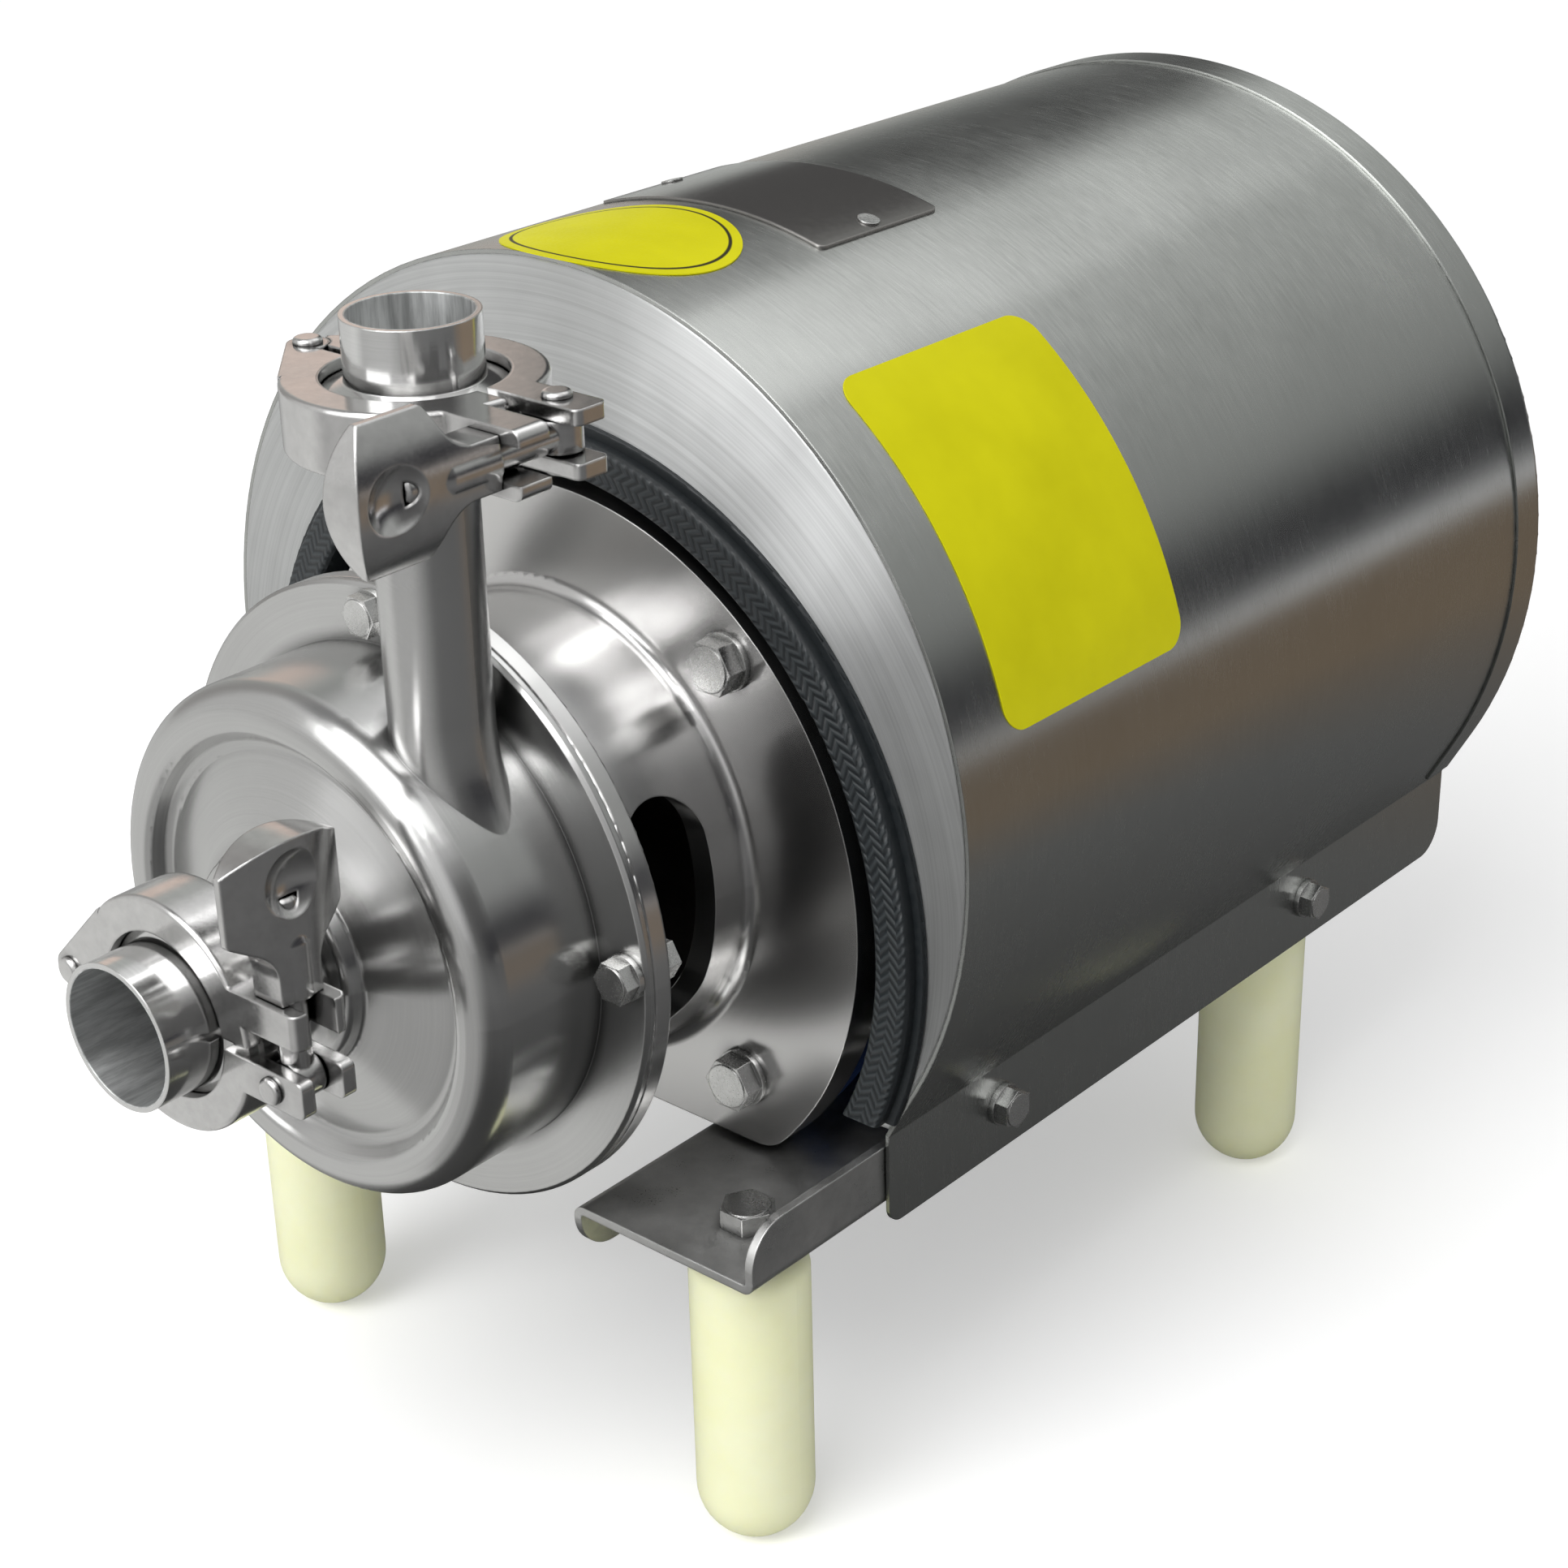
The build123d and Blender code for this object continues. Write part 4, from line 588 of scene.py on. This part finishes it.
clamp_steel = tumbled_steel("clamp_steel", (0.66, 0.655, 0.65), 0.16, dent=0.00005, edge=0.0009)
bolt_steel = tumbled_steel("bolt_steel", (0.72, 0.72, 0.71), 0.24, dent=0.000005, edge=0.0004,
                           shade_reach=0.0025)
rail_steel = tumbled_steel("rail_steel", (0.68, 0.68, 0.67), 0.38, dent=0.000010, edge=0.0006)
show(clamp_steel, bolt_steel, rail_steel)

# %% [markdown]
# ## Nylon, rubber, paint and film
# These are not metals, so their colour sits under a clear gloss. The nylon feet were turned from
# rod: they are waxy, let a little light in and keep fine tool marks along their height.

# %% Nylon


def turned_nylon(name):
    """Waxy ivory nylon with fine rings from the lathe."""
    finish = Finish(name, (0.92, 0.94, 0.62), 0.0, 0.42)
    finish.set("Subsurface Weight", 0.25)
    finish.set("Subsurface Radius", (0.004, 0.0035, 0.0015))
    finish.set("Subsurface Scale", 1.0)
    height = finish.split(finish.place)[2]
    tool = finish.noise(finish.join(0.0, 0.0, finish.times(height, 2600.0)), 1.0, 2.0)
    tone = finish.noise(finish.place, 40.0)
    finish.link("Base Color", finish.blend(finish.vary(tone), (0.90, 0.91, 0.57),
                                           (0.93, 0.95, 0.66)))
    finish.link("Roughness", finish.vary(tool, 0.36, 0.5))
    finish.link("Normal", finish.bump(tool, 0.00003, finish.soft_edges(broken_edge)))
    return finish.material


ivory_nylon = turned_nylon("ivory_nylon")
show(ivory_nylon)

# %% [markdown]
# The strip round the opening is extruded rubber with small chevrons rolled into its face. A ramp
# that rises and falls across the strip is added to the length along it, so that the ridges of a
# second ramp bend to and fro.

# %% Rubber with chevrons
opening_centre = (0.0, -0.0077)
strip_inner, strip_outer = 0.1072, 0.1172
strip_middle = 0.112
strip_border = 0.0004
chevron_width = 0.0028
chevron_pitch = 0.0014


def chevron_rubber(name):
    """Black rubber whose ridges zigzag across the strip and repeat along it, with painted shade in
    the grooves.
    """
    finish = Finish(name, (0.018, 0.019, 0.022), 0.0, 0.45)
    finish.set("Specular IOR Level", 0.5)
    angle, radius, _ = finish.round_axis(opening_centre)
    arc = finish.times(angle, strip_middle)
    zigzag = finish.math("PINGPONG", radius, chevron_width)
    ridge = finish.math("PINGPONG", finish.plus(arc, zigzag), chevron_pitch)
    on_band = finish.times(finish.span(radius, strip_inner, strip_inner + strip_border),
                           finish.span(radius, strip_outer - strip_border, strip_outer, 1.0, 0.0))
    height = finish.times(finish.span(ridge, 0.0003, 0.0011), on_band)
    grain = finish.noise(finish.place, 500.0)
    finish.link("Roughness", finish.vary(grain, 0.36, 0.6))
    # Painted shade: the grooves between the ridges are darker than the ridges' tops.
    finish.link("Base Color", finish.blend(height, (0.009, 0.012, 0.014), (0.030, 0.036, 0.039)))
    finish.link("Normal", finish.bump(height, 0.00025, finish.bump(grain, 0.00008)))
    return finish.material


strip_rubber = chevron_rubber("chevron_rubber")
show(strip_rubber)

# %% [markdown]
# The O-rings are black rubber and the gaskets in the clamps pale silicone. Both were moulded and
# show only a fine even grain.

# %% Plain rubber


def plain_rubber(name, color):
    """Moulded rubber with a fine grain."""
    finish = Finish(name, color, 0.0, 0.5)
    grain = finish.noise(finish.place, 700.0)
    finish.link("Base Color", finish.blend(grain, color, shaded(color, 1.25)))
    finish.link("Roughness", finish.vary(grain, 0.4, 0.6))
    finish.link("Normal", finish.bump(grain, 0.00005))
    return finish.material


black_rubber = plain_rubber("black_rubber", (0.02, 0.02, 0.022))
pale_silicone = plain_rubber("pale_silicone", (0.7, 0.7, 0.68))
show(black_rubber, pale_silicone)

# %% [markdown]
# The motor is sprayed dark blue. Sprayed paint dries with a fine ripple like an orange's skin,
# which a shallow noise bump gives. The front shield, seen through the lantern's windows, is a
# brighter blue outside and almost black round the shaft.

# %% Paint
# Radii, in metres, over which the shield's middle turns almost black.
dark_middle_from, dark_middle_to = 0.060, 0.066


def orange_peel(finish, roughness):
    """Gives a finish the ripple of sprayed paint."""
    peel = finish.noise(finish.place, 700.0, 2.0)
    finish.link("Roughness", finish.vary(peel, roughness * 0.8, roughness * 1.25))
    finish.link("Normal", finish.bump(peel, 0.00006, finish.soft_edges(broken_edge)))


def sprayed_paint(name, color, roughness):
    """Sprayed paint: a fine ripple, and a colour that varies a little."""
    finish = Finish(name, color, 0.0, roughness)
    tone = finish.noise(finish.place, 30.0, 4.0)
    finish.link("Base Color", finish.blend(finish.vary(tone), shaded(color, 0.75),
                                           shaded(color, 1.25)))
    orange_peel(finish, roughness)
    return finish.material


def shield_paint(name, color, roughness):
    """The motor's paint, almost black with a red tint in the middle that shows through the
    lantern's windows.
    """
    finish = Finish(name, color, 0.0, roughness)
    radius = finish.round_axis()[1]
    # Within these radii of the shaft the colour is almost black with a red tint.
    inner = finish.span(radius, dark_middle_from, dark_middle_to, 1.0, 0.0)
    finish.link("Base Color", finish.blend(inner, color, (0.0035, 0.0015, 0.0015)))
    finish.set("Specular IOR Level", 0.2)
    orange_peel(finish, roughness)
    return finish.material


front_paint = shield_paint("front_paint", (0.018, 0.045, 0.15), 0.45)
blue_paint = sprayed_paint("blue_paint", (0.010, 0.024, 0.080), 0.35)
black_plastic = sprayed_paint("black_plastic", (0.025, 0.025, 0.027), 0.45)
show(front_paint, blue_paint, black_plastic)

# %% [markdown]
# The plate on the cover's top is thin dark metal that still mirrors the room a little. It is
# left bare.

# %% Dark plate


def dark_metal(name, color, roughness):
    """Dark anodised sheet with an almost smooth face."""
    finish = Finish(name, color, 0.85, roughness)
    grain = finish.noise(finish.place, 500.0)
    finish.link("Roughness", finish.vary(grain, roughness * 0.85, roughness * 1.2))
    finish.link("Normal", finish.bump(grain, 0.000003, finish.soft_edges(0.0008)))
    return finish.material


dark_plate = dark_metal("dark_plate", (0.30, 0.29, 0.28), 0.14)
show(dark_plate)

# %% [markdown]
# Stickers are thin yellow film under a soft gloss, with faint ripples where they were pressed
# down. The oval one has a thin dark line inside its edge. An oval line is easy to draw when each
# direction is divided by the sticker's own half width: the line is then a circle.

# %% Film
line_inside, line_outside = 0.880, 0.920
line_blur = 0.010
line_color = (0.03, 0.028, 0.01)


def oval_line(finish, sticker):
    """1 on a thin line that follows the edge of an oval sticker, seen from above."""
    low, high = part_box(sticker)
    x, y, _ = finish.split(finish.place)
    u = finish.math("DIVIDE", finish.minus(x, (low.x + high.x) / 2), (high.x - low.x) / 2)
    v = finish.math("DIVIDE", finish.minus(y, (low.y + high.y) / 2), (high.y - low.y) / 2)
    reach = finish.distance(u, v)
    return finish.times(finish.span(reach, line_inside, line_inside + line_blur),
                        finish.span(reach, line_outside - line_blur, line_outside, 1.0, 0.0))


def yellow_film(name, border_of=None):
    """Coloured film: strong yellow, faint ripples and, where asked, a border line."""
    finish = Finish(name, (0.70, 0.67, 0.005), 0.0, 0.42)
    finish.set("Specular IOR Level", 0.12)
    ripple = finish.noise(finish.place, 35.0)
    grain = finish.noise(finish.place, 1200.0, 2.0)
    tone = finish.blend(finish.vary(ripple), (0.62, 0.59, 0.002), (0.70, 0.67, 0.004))
    if border_of:
        tone = finish.blend(oval_line(finish, border_of), tone, line_color)
    finish.link("Base Color", tone)
    finish.link("Roughness", finish.vary(grain, 0.34, 0.5))
    finish.link("Normal", finish.bump(ripple, 0.0001, finish.bump(grain, 0.00001)))
    return finish.material


yellow_vinyl = yellow_film("yellow_film")
bordered_vinyl = yellow_film("bordered_film", "oval_sticker")
show(yellow_vinyl, bordered_vinyl)

# %% [markdown]
# ## Inside the motor
# The motor's cores are stacks of steel sheets, the windings are varnished copper, and the seal's
# faces are carbon. They are seen only when the pump is taken apart, so one dull, grainy finish
# in three colours is enough.

# %% Inner pieces


def dull_inside(name, color, metallic, roughness):
    """An unpolished surface with a coarse grain."""
    finish = Finish(name, color, metallic, roughness)
    grain = finish.noise(finish.place, 400.0, 4.0)
    finish.link("Base Color", finish.blend(grain, shaded(color, 0.7), shaded(color, 1.3)))
    finish.link("Roughness", finish.vary(grain, roughness * 0.8, roughness * 1.2))
    finish.link("Normal", finish.bump(grain, 0.0001))
    return finish.material


core_sheets = dull_inside("core_sheets", (0.20, 0.20, 0.21), 1.0, 0.5)
winding_wire = dull_inside("winding_wire", (0.50, 0.20, 0.09), 0.6, 0.4)
seal_carbon = dull_inside("seal_carbon", (0.10, 0.10, 0.11), 0.0, 0.3)
show(core_sheets, winding_wire, seal_carbon)

# %% [markdown]
# ## Dressing the CAD nodes
# Every CAD node gets the finish of the real piece. The table goes from finish to node names.

# %% Hand out the finishes
clamp_nodes = [port + "_clamp_" + piece for port in ("suction", "discharge")
               for piece in ("fixed_jaw", "hinged_jaw", "pins", "swing_bolt", "wing_nut")]
wardrobe = [
    (casing_steel, ["pump_casing", "back_plate", "impeller", "impeller_nut"]),
    (lantern_steel, ["lantern"]),
    (port_steel, ["suction_stub", "seal_spring"]),
    (outlet_steel, ["discharge_stub"]),
    (ring_steel, ["shroud_front_ring"]),
    (cover_steel, ["shroud_shell", "shroud_rear_cap"]),
    (clamp_steel, clamp_nodes),
    (bolt_steel, ["casing_bolts", "lantern_bolts", "motor_foot_bolts", "foot_bolts",
                  "shroud_bolts", "lid_screws", "cowl_screws", "nameplate_rivets"]),
    (rail_steel, ["base_rail_right", "base_rail_left"]),
    (shaft_steel, ["pump_shaft", "motor_shaft", "bearing_outer_rings", "bearing_inner_rings",
                   "bearing_balls"]),
    (front_paint, ["motor_front_shield"]),
    (blue_paint, ["motor_housing", "motor_rear_shield", "terminal_box", "terminal_lid",
                  "fan_cowl"]),
    (black_plastic, ["cooling_fan", "cable_gland"]),
    (dark_plate, ["nameplate"]),
    (yellow_vinyl, ["side_sticker"]),
    (bordered_vinyl, ["oval_sticker"]),
    (ivory_nylon, ["nylon_feet"]),
    (strip_rubber, ["opening_trim"]),
    (black_rubber, ["casing_o_ring", "seat_o_ring"]),
    (pale_silicone, ["suction_gasket", "discharge_gasket"]),
    (core_sheets, ["rotor_core", "stator_core"]),
    (winding_wire, ["stator_windings"]),
    (seal_carbon, ["seal_seat", "seal_head"]),
]
dressed = set()
for material, names in wardrobe:
    for name in names:
        nodes[name].data.materials.clear()
        nodes[name].data.materials.append(material)
        dressed.add(name)
print(len(dressed), "nodes dressed; left over:", sorted(set(nodes) - dressed))
